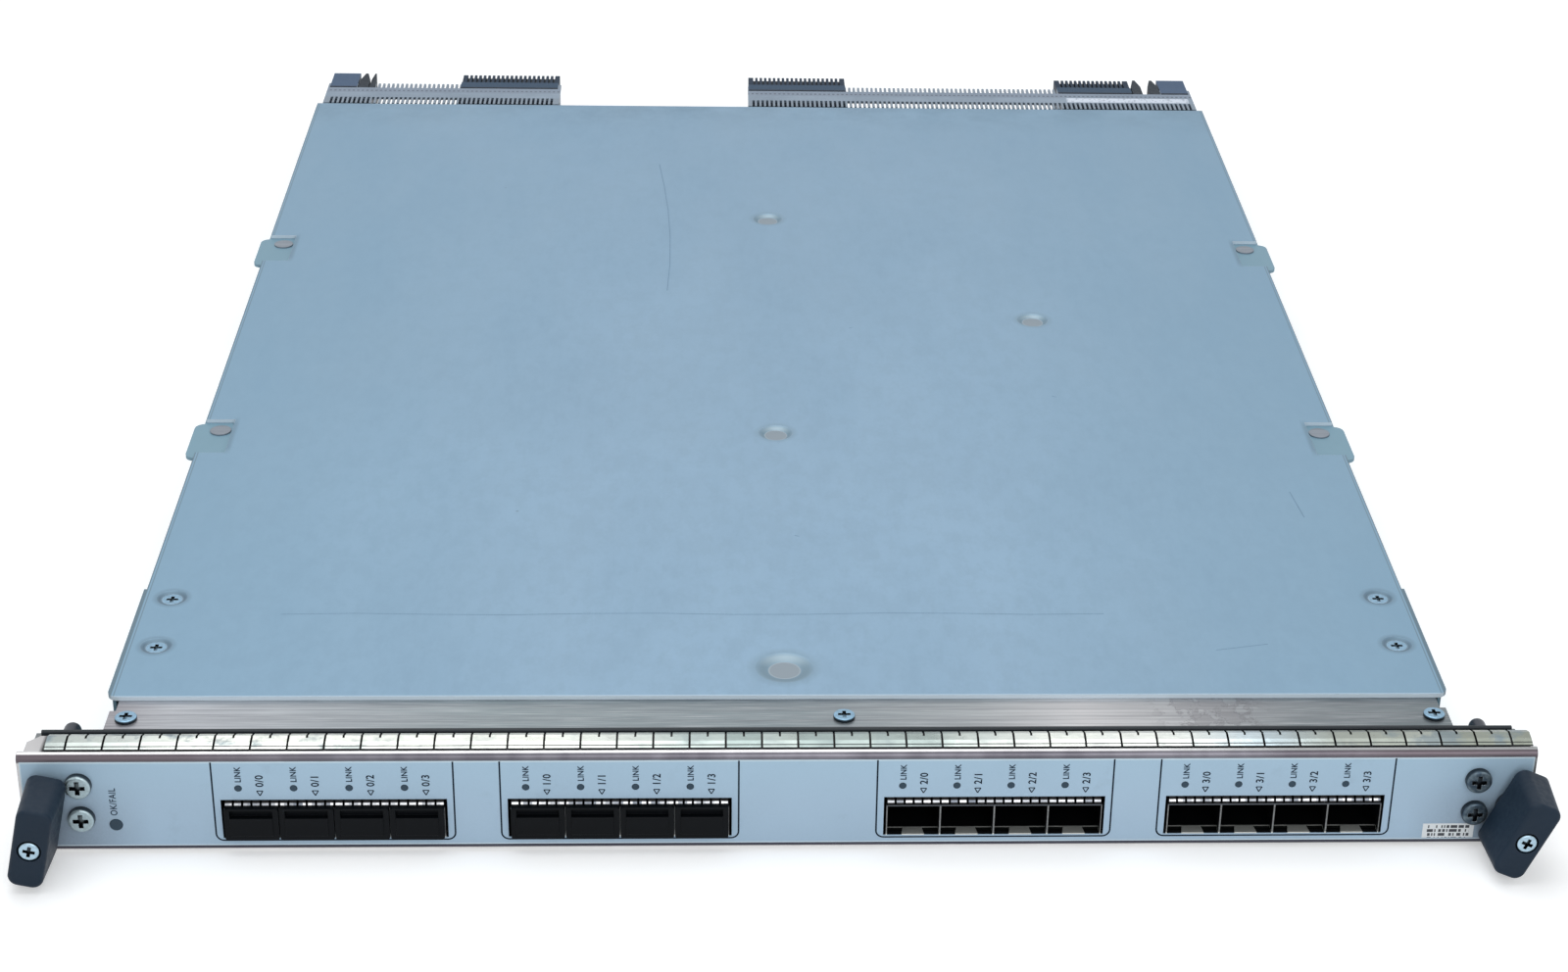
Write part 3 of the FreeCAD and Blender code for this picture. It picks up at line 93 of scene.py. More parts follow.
# ---------------------------------------------------------------- material helpers
class Nodes:
    """A small builder for one material's node tree."""

    def __init__(self, name):
        self.material = bpy.data.materials.new(name)
        self.material.use_nodes = True
        self.tree = self.material.node_tree
        self.tree.nodes.clear()
        self.out = self.new("OutputMaterial")
        self.shader = self.new("BsdfPrincipled")
        self.tree.links.new(self.shader.outputs[0], self.out.inputs["Surface"])
        self.coords = self.new("TexCoord").outputs["Object"]

    def new(self, kind):
        return self.tree.nodes.new("ShaderNode" + kind)

    def link(self, value, socket):
        if isinstance(value, bpy.types.NodeSocket):
            self.tree.links.new(value, socket)
        else:
            socket.default_value = value

    def put(self, **values):
        for key, value in values.items():
            self.link(value, self.shader.inputs[key.replace("_", " ")])

    def scaled(self, scale, place=(0, 0, 0)):
        node = self.new("Mapping")
        self.tree.links.new(self.coords, node.inputs["Vector"])
        node.inputs["Scale"].default_value = scale
        node.inputs["Location"].default_value = place
        return node.outputs[0]

    def noise(self, scale, detail=4.0, rough=0.55, stretch=(1, 1, 1), place=(0, 0, 0)):
        node = self.new("TexNoise")
        self.tree.links.new(self.scaled(stretch, place), node.inputs["Vector"])
        node.inputs["Scale"].default_value = scale
        node.inputs["Detail"].default_value = detail
        node.inputs["Roughness"].default_value = rough
        return node.outputs["Fac"]

    def cells(self, scale, stretch=(1, 1, 1), place=(0, 0, 0)):
        """Distance from the middle of the nearest random cell."""
        node = self.new("TexVoronoi")
        self.tree.links.new(self.scaled(stretch, place), node.inputs["Vector"])
        node.inputs["Scale"].default_value = scale
        return node.outputs["Distance"]

    def random(self, value):
        """A random share for each value."""
        node = self.new("TexWhiteNoise")
        node.noise_dimensions = "1D"
        self.link(value, node.inputs["W"])
        return node.outputs["Value"]

    def ramp(self, value, stops):
        node = self.new("ValToRGB")
        self.link(value, node.inputs[0])
        elements = node.color_ramp.elements
        while len(elements) < len(stops):
            elements.new(0.5)
        for element, (place, colour) in zip(elements, stops):
            element.position = place
            element.color = (*colour, 1.0)
        return node.outputs[0]

    def span(self, value, low, high, to_low=0.0, to_high=1.0):
        node = self.new("MapRange")
        self.link(value, node.inputs["Value"])
        node.inputs["From Min"].default_value = low
        node.inputs["From Max"].default_value = high
        node.inputs["To Min"].default_value = to_low
        node.inputs["To Max"].default_value = to_high
        return node.outputs[0]

    def math(self, kind, a, b=0.0):
        node = self.new("Math")
        node.operation = kind
        self.link(a, node.inputs[0])
        self.link(b, node.inputs[1])
        return node.outputs[0]

    def times(self, a, b):
        return self.math("MULTIPLY", a, b)

    def most(self, a, b):
        return self.math("MAXIMUM", a, b)

    def mix(self, share, a, b):
        """From colour a to colour b by a share."""
        node = self.new("Mix")
        node.data_type = "RGBA"
        self.link(share, node.inputs["Factor"])
        for value, socket in ((a, node.inputs["A"]), (b, node.inputs["B"])):
            if isinstance(value, tuple):
                value = (*value, 1.0)
            self.link(value, socket)
        return node.outputs["Result"]

    def mottled(self, value, colour, low, high):
        """A colour that runs between two gains with a noise."""
        return self.mix(self.span(value, 0.3, 0.7), tone(colour, low), tone(colour, high))

    def axis(self, name):
        node = self.new("SeparateXYZ")
        self.tree.links.new(self.coords, node.inputs[0])
        return node.outputs[name]

    def bump(self, height, strength, distance, normal=None):
        node = self.new("Bump")
        node.inputs["Strength"].default_value = strength
        node.inputs["Distance"].default_value = distance
        self.link(height, node.inputs["Height"])
        if normal is not None:
            self.link(normal, node.inputs["Normal"])
        return node.outputs[0]

    def between(self, value, low, high, soft):
        """1 where a value lies in a band, with soft ends."""
        rise = self.span(value, low - soft, low + soft)
        fall = self.span(value, high - soft, high + soft, 1.0, 0.0)
        return self.math("MULTIPLY", rise, fall)

    def radius_from(self, x, y):
        """Distance in plan from an upright axis."""
        across = self.math("SUBTRACT", self.axis("X"), x)
        along = self.math("SUBTRACT", self.axis("Y"), y)
        return self.math("SQRT", self.math("ADD", self.times(across, across),
                                           self.times(along, along)))

    def facing(self, direction):
        """How far the true surface faces a direction, from -1 to 1."""
        node = self.new("VectorMath")
        node.operation = "DOT_PRODUCT"
        normal = self.new("NewGeometry").outputs["True Normal"]
        self.tree.links.new(normal, node.inputs[0])
        node.inputs[1].default_value = direction
        return node.outputs["Value"]

    def hollow(self, reach):
        """1 deep inside recesses, 0 on open surfaces; the materials use it to paint shade."""
        node = self.new("AmbientOcclusion")
        node.samples = 8
        node.inputs["Distance"].default_value = reach
        return self.span(node.outputs["AO"], 0.85, 0.50)

    def soft_edges(self, radius):
        node = self.new("Bevel")
        node.samples = 4
        node.inputs["Radius"].default_value = radius
        return node.outputs[0]

    def edge_mask(self, radius):
        """1 on sharp edges, 0 on flats."""
        soft = self.soft_edges(radius)
        sharp = self.new("NewGeometry").outputs["Normal"]
        node = self.new("VectorMath")
        node.operation = "DOT_PRODUCT"
        self.tree.links.new(soft, node.inputs[0])
        self.tree.links.new(sharp, node.inputs[1])
        return self.span(node.outputs["Value"], 0.985, 0.85)


def srgb(red, green, blue):
    """An 8-bit display colour as linear light."""
    def linear(value):
        value /= 255.0
        return value / 12.92 if value <= 0.04045 else ((value + 0.055) / 1.055) ** 2.4
    return (linear(red), linear(green), linear(blue))


def tone(colour, gain):
    return tuple(min(1.0, channel * gain) for channel in colour)


def plain(name, colour, rough, metal=0.0, grain=400.0, bump=0.15, edge=None,
          edge_radius=0.15 * MM, specular=0.5):
    """A moulded or coated finish: mottled colour and roughness, a fine grain, and
    lighter edges of wear where a colour for them is given."""
    n = Nodes(name)
    broad = n.noise(grain * 0.06, 3.0)
    fine = n.noise(grain * 6.0, 3.0)
    base = n.mottled(broad, colour, 0.88, 1.12)
    if edge is not None:
        edge_tone = n.times(n.edge_mask(edge_radius), n.span(fine, 0.35, 0.6, 0.35, 1.0))
        base = n.mix(edge_tone, base, edge)
    n.put(Base_Color=base, Metallic=metal, Specular_IOR_Level=specular,
          Roughness=n.span(n.noise(grain, 4.0), 0.3, 0.7, rough * 0.85, min(1.0, rough * 1.15)))
    n.put(Normal=n.bump(fine, bump, 0.05 * MM, n.soft_edges(edge_radius)))
    return n.material


# ---------------------------------------------------------------- materials
def pressed_ring(n, colour, place, light, dark):
    """Painted shade on the slopes and in a faint halo round one pressed hollow, and a
    painted highlight on its rear slope.
    """
    x, depth, flat, outer = place
    flat, outer = flat * MM, outer * MM
    reach = n.radius_from(x * MM, behind(depth))
    rear_highlight = n.span(n.math("SUBTRACT", n.axis("Y"), behind(depth)), flat * 0.3, outer * 0.8)
    halo = n.span(reach, outer * 0.90, outer * 1.35, 1.0, 0.0)
    colour = n.mix(n.times(halo, 0.40), colour, dark)
    slope = n.between(reach, flat * 0.98, outer * 0.90, 0.10 * outer)
    colour = n.mix(n.times(slope, 0.55), colour, dark)
    return n.mix(n.times(n.times(slope, rear_highlight), 0.30), colour, light)


def dimple_flat(n, colour, place):
    """Grey flat of one dimple, with a lighter ring at its edge."""
    x, depth, flat, _ = place
    flat *= MM
    reach = n.radius_from(x * MM, behind(depth))
    inside = n.span(reach, flat * 1.02, flat * 0.94)
    colour = n.mix(n.times(inside, 0.9), colour, srgb(138, 148, 156))
    ring = n.between(reach, flat * 0.90, flat, 0.1 * MM)
    return n.mix(n.times(ring, 0.4), colour, srgb(166, 180, 190))


def cover_pressings(n, colour):
    """Painted shade and highlights on the dimples and screw sinks, the dimples' grey flats,
    and grime near the rear edge.
    """
    for place in DIMPLES:
        colour = pressed_ring(n, colour, place, srgb(206, 220, 226), srgb(104, 128, 140))
        colour = dimple_flat(n, colour, place)
    for place in SCREW_SINKS:
        colour = pressed_ring(n, colour, place, srgb(120, 146, 162), srgb(62, 82, 96))
    smudge = n.noise(60.0, 4.0, 0.7, place=(1.4, 0.8, 0))
    rear = n.span(n.axis("Y"), 0.215, 0.243, 0.0, 0.5)
    return n.mix(n.times(rear, n.span(smudge, 0.35, 0.7)), colour, srgb(98, 126, 146))


def cover_edges(n, colour, front_cut_highlight):
    """Dark lines along the sides, painted shade beside the ears, a painted highlight
    along the front edge, and painted highlights on cut faces that face forward.
    """
    side = n.math("ABSOLUTE", n.axis("X"))
    for low, high, shade in SIDE_LINES:
        line = n.between(side, low * MM, high * MM, 0.05 * MM)
        colour = n.mix(n.times(line, 0.75), colour, srgb(*shade))
    low, high = EAR_PRESS_ACROSS
    across = n.between(side, low * MM, high * MM, 0.5 * MM)
    # Painted shade beside the ears.
    for depth in EAR_DEPTHS:
        low, high = [behind(depth + step) for step in EAR_PRESS_ALONG]
        ear_shade = n.times(across, n.between(n.axis("Y"), low, high, 2.5 * MM))
        colour = n.mix(n.times(ear_shade, 0.35), colour, srgb(70, 94, 106))
    # Painted highlight along the cover's front edge.
    front_edge_highlight = n.span(n.axis("Y"), behind(FRONT_EDGE_HIGHLIGHT[0]), behind(FRONT_EDGE_HIGHLIGHT[1]), 0.0, 0.5)
    colour = n.mix(front_edge_highlight, colour, srgb(190, 208, 220))
    # Painted highlight on cut faces that face forward.
    return n.mix(front_cut_highlight, colour, srgb(206, 220, 230))


def cover_finish(name="cover_blue_grey", base=srgb(137, 166, 189), pressings=True,
                 edge_tone=srgb(196, 210, 218)):
    """Satin galvanised sheet under a blue-grey coat: broad clouding, fine rolled
    grain and a few dark specks.  The cover also has its pressings and edges."""
    n = Nodes(name)
    clouds = n.noise(9.0, 5.0, 0.6, place=(0.3, 0.1, 0))
    smears = n.noise(26.0, 6.0, 0.65, stretch=(1.0, 0.35, 1.0), place=(0.7, 0.4, 0))
    mottle = n.noise(190.0, 4.0, 0.7, stretch=(1.0, 0.6, 1.0), place=(0.2, 0.6, 0))
    grain = n.noise(420.0, 3.0, 0.6, stretch=(1.0, 0.25, 1.0))
    colour = n.mottled(clouds, base, 0.93, 1.05)
    for value, low, high, share, gain in ((smears, 0.42, 0.75, 0.5, 0.86),
                                          (mottle, 0.42, 0.60, 0.45, 0.86),
                                          (grain, 0.35, 0.65, 0.18, 1.12)):
        colour = n.mix(n.span(value, low, high, 0.0, share), colour, tone(base, gain))
    # Painted shade: darker towards the sides and the rear, where less light falls.
    sideways = n.math("ABSOLUTE", n.axis("X"))
    for value, low, high, share, gains in ((sideways, 0.06, 0.18, 0.75, (0.76, 0.85, 0.86)),
                                           (n.axis("Y"), -0.10, 0.25, 0.60, (0.79, 0.84, 0.86))):
        far = tuple(channel * gain for channel, gain in zip(base, gains))
        colour = n.mix(n.span(value, low, high, 0.0, share), colour, far)
    if pressings:
        colour = cover_pressings(n, colour)
    specks = n.cells(60.0, place=(0.13, 0.37, 0.0))
    spots = n.times(n.span(specks, 0.035, 0.012),
                    n.span(n.noise(14.0, 1.0, place=(2.0, 1.0, 0)), 0.60, 0.66))
    colour = n.mix(n.times(spots, 0.65), colour, srgb(92, 112, 127))
    # Edges: on the cover a lighter wear; on the tray a darker colour, which is painted shade for
    # the slits round the ears.
    edge_wear_and_gap_shade = n.times(n.edge_mask((0.25 if pressings else 0.45) * MM),
                     n.span(n.noise(300.0, 4.0), 0.35, 0.6, 0.4, 0.95))
    colour = n.mix(edge_wear_and_gap_shade, colour, edge_tone)
    # Painted highlight: cut faces that face forward get a light, less metallic finish.
    front_cut_highlight = n.span(n.facing((0, -1, 0)), 0.6, 0.9)
    if pressings:
        colour = cover_edges(n, colour, front_cut_highlight)
    n.put(Base_Color=colour, Roughness=n.span(smears, 0.3, 0.7, 0.44, 0.56),
          Metallic=n.span(front_cut_highlight, 0.0, 1.0, 0.35, 0.0))
    ripple = n.math("ADD", n.times(grain, 0.35), smears)
    n.put(Normal=n.bump(ripple, 0.10, 0.10 * MM, n.soft_edges(0.3 * MM)))
    return n.material


def brushed(name, colour, rough=0.30, along="X", depth=0.25, metal=0.9, edge=None,
            edge_radius=0.2 * MM):
    """Sheet or bar with a long grain along one axis."""
    n = Nodes(name)
    stretch = {"X": (0.012, 1.0, 1.0), "Y": (1.0, 0.012, 1.0), "Z": (1.0, 1.0, 0.012)}[along]
    fine = n.noise(5200.0, 2.0, 0.6, stretch=stretch)
    bands = n.noise(900.0, 3.0, 0.6, stretch=stretch)
    clouds = n.noise(28.0, 4.0, 0.6, place=(3.1, 0, 0))
    base = n.mottled(bands, colour, 0.82, 1.18)
    base = n.mix(n.span(clouds, 0.35, 0.65, 0.0, 0.35), base, tone(colour, 1.25))
    if edge is not None:
        base = n.mix(n.times(n.edge_mask(edge_radius), 0.8), base, edge)
    n.put(Base_Color=base, Metallic=metal,
          Roughness=n.span(fine, 0.3, 0.7, rough * 0.8, rough * 1.25))
    n.put(Normal=n.bump(fine, depth, 0.02 * MM, n.soft_edges(edge_radius)))
    return n.material


def screw_finish(name, colour, out, darker_right=False):
    """Zinc-plated screws with painted shade in the crosses and round the undercut rims, and
    a painted highlight on the edges.  Out is the way the heads face.  The right-hand pair
    can be made darker in patches."""
    n = Nodes(name)
    fine = n.noise(1500.0, 3.0, 0.6)
    shade = n.mottled(fine, colour, 0.85, 1.2)
    if darker_right:
        # Darker towards the right, in patches.
        share = n.times(n.span(n.axis("X"), 0.0, 0.10),
                        n.span(n.noise(420.0, 3.0, 0.6), 0.35, 0.62, 0.70, 1.0))
        shade = n.mix(share, shade, srgb(58, 74, 88))
    # Painted highlight on the head edges.
    shade = n.mix(n.times(n.edge_mask(0.12 * MM), 0.6), shade, srgb(220, 232, 238))
    # Painted shade round the undercut rims.
    rim = n.span(n.facing(out), 0.70, 0.40)
    shade = n.mix(n.times(rim, 0.9), shade, srgb(34, 46, 56))
    # Painted shade in the crosses and recesses.
    shade = n.mix(n.hollow(2.2 * MM), shade, srgb(12, 18, 24))
    n.put(Base_Color=shade, Metallic=0.7, Roughness=n.span(fine, 0.3, 0.7, 0.28, 0.42))
    n.put(Normal=n.bump(fine, 0.12, 0.03 * MM, n.soft_edges(0.12 * MM)))
    return n.material


def bracket_finish():
    """Long-grain sheet, lighter and darker along its length, with stains near one end.
    Its front face, below the web, gets painted shade for the dark gap behind the gasket."""
    n = Nodes("bracket_brushed")
    fine = n.noise(5200.0, 2.0, 0.6, stretch=(0.012, 1.0, 1.0))
    bands = n.noise(1100.0, 3.0, 0.65, stretch=(0.010, 1.0, 1.0))
    along = n.span(n.axis("X"), -0.18, 0.18)
    stops = [(0.00, srgb(150, 146, 152)), (0.05, srgb(186, 189, 195)), (0.28, srgb(140, 152, 156)),
             (0.50, srgb(128, 140, 145)), (0.64, srgb(160, 165, 168)), (0.72, srgb(200, 199, 201)),
             (0.80, srgb(170, 172, 175)), (0.88, srgb(124, 132, 136)), (1.00, srgb(104, 116, 120))]
    colour = n.ramp(along, stops)
    colour = n.mix(n.span(bands, 0.35, 0.65, 0.0, 0.55), colour, srgb(118, 120, 126))
    colour = n.mix(n.span(fine, 0.50, 0.75, 0.0, 0.5), colour, srgb(216, 219, 222))
    blotch = n.noise(120.0, 5.0, 0.7, place=(1.7, 0.2, 0.4))
    near_end = n.between(n.axis("X"), 0.100, 0.128, 0.004)
    rim = n.between(blotch, 0.49, 0.53, 0.01)
    stain_and_reflection = n.times(n.span(blotch, 0.50, 0.56), near_end)
    colour = n.mix(n.times(stain_and_reflection, 0.35), colour, srgb(120, 118, 122))
    colour = n.mix(n.times(n.times(rim, near_end), 0.35), colour,
                   srgb(82, 78, 84))
    # Painted shade on the front face in the gap behind the gasket.
    shade = n.most(n.span(n.facing((0, -1, 0)), 0.5, 0.9),
                   n.span(n.axis("Y"), behind(14.3), behind(14.0)))
    colour = n.mix(shade, colour, srgb(40, 46, 51))
    n.put(Base_Color=colour, Metallic=n.span(shade, 0.0, 1.0, 0.75, 0.0),
          Roughness=n.span(fine, 0.3, 0.7, 0.28, 0.42), Specular_IOR_Level=0.2)
    n.put(Normal=n.bump(fine, 0.3, 0.02 * MM, n.soft_edges(0.2 * MM)))
    return n.material


def gasket_finish():
    """Rolled spring strip with painted reflection: bright along two stretches and greyer
    between them and at the right, and painted shade on the fold along the front edge,
    under the front edge and on the steep faces."""
    n = Nodes("gasket_strip")
    finger = n.math("FLOOR", n.math("DIVIDE", n.math("SUBTRACT", n.axis("X"), GASKET_START),
                                    GASKET_PITCH))
    # Painted reflection: the strip's brightness along its length.
    along = n.span(n.axis("X"), -0.19, 0.19)
    stops = [(0.00, srgb(150, 158, 156)), (0.06, srgb(196, 202, 198)), (0.10, srgb(236, 238, 230)),
             (0.34, srgb(222, 224, 216)), (0.44, srgb(150, 164, 162)), (0.60, srgb(140, 153, 151)),
             (0.66, srgb(226, 229, 222)), (0.77, srgb(232, 235, 230)), (0.82, srgb(186, 202, 212)),
             (0.88, srgb(136, 142, 134)), (1.00, srgb(134, 139, 128))]
    shade = n.ramp(along, stops)
    shade = n.mix(n.times(n.random(finger), 0.35), shade, srgb(206, 212, 206))
    # Painted reflection: darker patches of the dented facets near the ends.
    stain_and_reflection = n.noise(120.0, 5.0, 0.65, place=(0.2, 0.9, 0.1))
    ends = n.span(n.math("ABSOLUTE", n.math("ADD", n.axis("X"), -0.02)), 0.10, 0.17, 0.25, 0.9)
    shade = n.mix(n.times(n.span(stain_and_reflection, 0.50, 0.62), ends), shade,
                  srgb(116, 130, 138))
    streaks = n.noise(2600.0, 2.0, 0.6, stretch=(0.05, 1, 1))
    shade = n.mix(n.span(streaks, 0.35, 0.65, 0.0, 0.2), shade, srgb(150, 156, 152))
    # Painted shade, near black: the front fold, under the front edge and the steep faces.
    depth = n.axis("Y")
    fold = n.between(depth, behind(2.95), behind(3.30), 0.05 * MM)
    lip_shadow = n.span(depth, behind(2.25), behind(2.15))
    dark_mask = n.most(n.times(fold, 0.85), lip_shadow)
    steep_face_shade = n.span(n.facing((0, 0, 1)), 0.35, 0.15)
    dark_mask = n.most(dark_mask, steep_face_shade)
    shade = n.mix(dark_mask, shade, srgb(24, 27, 29))
    n.put(Base_Color=shade, Metallic=n.span(dark_mask, 0.0, 1.0, 0.8, 0.0), Specular_IOR_Level=0.15,
          Roughness=n.span(stain_and_reflection, 0.35, 0.65, 0.26, 0.44))
    dents = n.cells(120.0, stretch=(1.0, 0.6, 1.0), place=(0.03, 0.01, 0.0))
    crumple = n.math("ADD", dents, n.times(stain_and_reflection, 0.8))
    n.put(Normal=n.bump(crumple, 0.30, 0.5 * MM, n.soft_edges(0.1 * MM)))
    return n.material


def film_finish():
    """Satin printed film with a light cut edge, painted shade greying its lower corners
    and darkening its ends, and painted light brightening its upper part.
    """
    n = Nodes("front_film_blue")
    base = srgb(163, 187, 207)
    clouds = n.noise(30.0, 3.0, 0.5, place=(0.5, 0.2, 0.8))
    colour = n.mottled(clouds, base, 0.97, 1.03)
    across = n.math("ABSOLUTE", n.axis("X"))
    # Painted shade at the lower corners and towards the ends.
    low_corner = n.times(n.span(across, 0.165, 0.190),
                         n.span(n.axis("Z"), 0.022, 0.008))
    colour = n.mix(n.times(low_corner, 0.9), colour, srgb(122, 133, 148))
    ends = n.span(across, 0.168, 0.196, 0.0, 0.35)
    colour = n.mix(ends, colour, tone(base, 0.80))
    # Painted light: brighter and bluer towards the top.
    height = n.span(n.axis("Z"), 0.014, 0.0275, 0.0, 0.5)
    colour = n.mix(height, colour, (base[0] * 1.02, base[1] * 1.10, base[2] * 1.08))
    speckle = n.noise(2400.0, 2.0, 0.5)
    colour = n.mix(n.span(speckle, 0.35, 0.65, 0.0, 0.10), colour, tone(base, 1.2))
    grime = n.noise(90.0, 5.0, 0.65, place=(1.2, 0.0, 0.3))
    colour = n.mix(n.span(grime, 0.58, 0.74, 0.0, 0.22), colour, tone(base, 0.62))
    rim = n.most(n.span(n.axis("Z"), FILM_HIGH - 0.45 * MM, FILM_HIGH - 0.2 * MM),
                 n.span(n.axis("Z"), FILM_LOW + 0.45 * MM, FILM_LOW + 0.2 * MM))
    rim = n.most(rim, n.span(across, 196.85 * MM, 197.1 * MM))
    colour = n.mix(n.times(rim, 0.8), colour, srgb(206, 222, 230))
    n.put(Base_Color=colour, Roughness=n.span(grime, 0.3, 0.7, 0.42, 0.55), Metallic=0.15)
    n.put(Normal=n.bump(speckle, 0.06, 0.02 * MM))
    return n.material


def panel_edge_finish():
    """Plated channel round the film: light on its flat edges, with painted shade, dark
    brownish, on the folds and near black inside the cutouts and under the gasket."""
    n = Nodes("panel_edge_steel")
    grain = n.noise(3600.0, 2.0, 0.6, stretch=(0.012, 1, 1))
    bands = n.noise(55.0, 3.0, 0.6, stretch=(1.0, 0.3, 0.3))
    colour = n.mix(n.span(bands, 0.35, 0.65), srgb(178, 177, 179), srgb(206, 205, 206))
    colour = n.mix(n.span(n.axis("X"), 0.08, 0.13, 0.0, 0.8), colour, srgb(116, 121, 122))
    colour = n.mix(n.span(grain, 0.3, 0.7, 0.0, 0.3), colour, srgb(186, 183, 185))
    # Painted shade on the upper fold, which faces away from the light.
    up = n.facing((0, 0, 1))
    height = n.axis("Z")
    fold = n.times(n.span(up, 0.88, 0.80), n.span(height, 27.2 * MM, 27.6 * MM))
    ends = n.span(n.math("ABSOLUTE", n.axis("X")), 0.120, 0.165)
    dull = n.mix(n.span(bands, 0.42, 0.60), srgb(96, 94, 102), srgb(118, 116, 124))
    dull = n.mix(ends, dull, srgb(98, 90, 96))
    colour = n.mix(fold, colour, dull)
    # Painted shade on the lower fold.
    low_fold = n.between(height, 0.75 * MM, 2.2 * MM, 0.12 * MM)
    colour = n.mix(low_fold, colour, srgb(72, 72, 84))
    # Painted shade, near black, inside the cutouts and under the gasket.
    across = n.math("ABSOLUTE", n.axis("X"))
    cut = n.between(height, 3.6 * MM, 17.5 * MM, 0.3 * MM)
    cut = n.times(cut, n.span(across, 0.1935, 0.1930))
    under_gasket_shade = n.times(n.span(n.axis("Y"), behind(1.65), behind(1.85)),
                     n.span(across, 0.1925, 0.1915))
    black = n.most(cut, under_gasket_shade)
    colour = n.mix(black, colour, srgb(16, 17, 19))
    n.put(Base_Color=colour, Metallic=n.span(black, 0.0, 1.0, 0.75, 0.0),
          Specular_IOR_Level=0.15, Roughness=n.span(grain, 0.3, 0.7, 0.28, 0.40))
    n.put(Normal=n.bump(grain, 0.2, 0.02 * MM, n.soft_edges(0.3 * MM)))
    return n.material


def cage_finish():
    """Tinned sheet: dull at the mouth, with bright latch tongues, and painted shade,
    near black, down inside the ports."""
    n = Nodes("cage_sheet")
    fine = n.noise(1800.0, 3.0, 0.6, stretch=(1.0, 0.08, 1.0))
    colour = n.mix(n.span(fine, 0.3, 0.7), srgb(104, 105, 106), srgb(140, 141, 141))
    low = n.span(n.axis("Z"), 4.75 * MM, 4.65 * MM)
    colour = n.mix(low, colour, srgb(206, 208, 204))
    roof = n.span(n.axis("Z"), 13.15 * MM, 13.3 * MM)
    colour = n.mix(roof, colour, srgb(92, 96, 102))
    # Painted shade, near black, deep in the ports and on the walls at the mouth.
    inside = n.span(n.axis("Y"), behind(2.6), behind(3.2))
    walls = n.times(n.between(n.axis("Z"), 4.75 * MM, 13.25 * MM, 0.03 * MM),
                    n.span(n.axis("Y"), behind(-0.35), behind(-0.15)))
    inside = n.most(inside, walls)
    colour = n.mix(inside, colour, srgb(9, 10, 12))
    n.put(Base_Color=colour, Metallic=n.span(inside, 0.0, 1.0, 0.7, 0.0),
          Specular_IOR_Level=0.08, Roughness=n.span(fine, 0.3, 0.7, 0.30, 0.45))
    n.put(Normal=n.bump(fine, 0.15, 0.02 * MM, n.soft_edges(0.05 * MM)))
    return n.material


def finger_finish():
    """Spring fingers over the ports: painted highlights on their bows, painted shade below."""
    n = Nodes("cage_fingers")
    # Painted highlight on the bows, a random brightness for each finger, and painted shade, near
    # black, below them.
    finger = n.math("FLOOR", n.math("DIVIDE", n.axis("X"), PORT_PITCH / 6.0))
    colour = n.mix(n.random(finger), srgb(120, 126, 136), srgb(250, 250, 252))
    bow_highlight = n.between(n.axis("Z"), 14.25 * MM, 14.80 * MM, 0.06 * MM)
    colour = n.mix(bow_highlight, srgb(14, 15, 18), colour)
    n.put(Base_Color=colour, Metallic=n.times(bow_highlight, 0.6), Specular_IOR_Level=0.1,
          Roughness=n.span(n.noise(900.0), 0.3, 0.7, 0.3, 0.45))
    n.put(Normal=n.bump(n.noise(2000.0), 0.08, 0.02 * MM))
    return n.material


def comb(n, share):
    """1 on a comb of lines at the contact pitch."""
    place = n.math("DIVIDE", n.math("ADD", n.axis("X"), COMB_SHIFT), CONTACT_PITCH)
    return n.math("LESS_THAN", n.math("FRACT", place), share)


def stiffener_finish():
    """Tin-plated strip with darker comb teeth, a row of small pits and a light plain
    strip towards one end."""
    n = Nodes("stiffener_tin")
    grain = n.noise(2600.0, 2.0, 0.6, stretch=(0.02, 1.0, 1.0))
    clouds = n.noise(60.0, 3.0, 0.6)
    colour = n.mix(n.span(clouds, 0.35, 0.65), srgb(112, 130, 148), srgb(130, 148, 166))
    colour = n.mix(n.span(grain, 0.35, 0.65, 0.0, 0.3), colour, srgb(152, 168, 184))
    depth = n.axis("Y")
    rear_half = n.span(depth, behind(505.6), behind(506.4), 0.0, 0.55)
    colour = n.mix(rear_half, colour, srgb(112, 126, 146))
    pits = n.between(depth, behind(507.6), behind(508.9), 0.1 * MM)
    colour = n.mix(n.times(pits, n.times(comb(n, 0.5), 0.8)), colour,
                   srgb(64, 76, 94))
    strip = n.times(n.between(n.axis("X"), 0.1254, 0.1758, 0.0004),
                    n.between(depth, behind(501.2), behind(506.2), 0.3 * MM))
    marks = n.span(n.noise(900.0, 2.0, 0.6, stretch=(1.0, 0.5, 1.0)), 0.56, 0.62, 0.0, 0.45)
    colour = n.mix(strip, colour, n.mix(marks, srgb(206, 216, 230), srgb(110, 122, 140)))
    teeth = n.most(n.span(depth, behind(500.6), behind(500.2)),
                   n.span(depth, behind(512.0), behind(512.6)))
    colour = n.mix(n.times(teeth, 0.75), colour, srgb(122, 136, 150))
    n.put(Base_Color=colour, Metallic=0.5, Roughness=n.span(grain, 0.3, 0.7, 0.34, 0.46))
    n.put(Normal=n.bump(grain, 0.15, 0.02 * MM, n.soft_edges(0.1 * MM)))
    return n.material


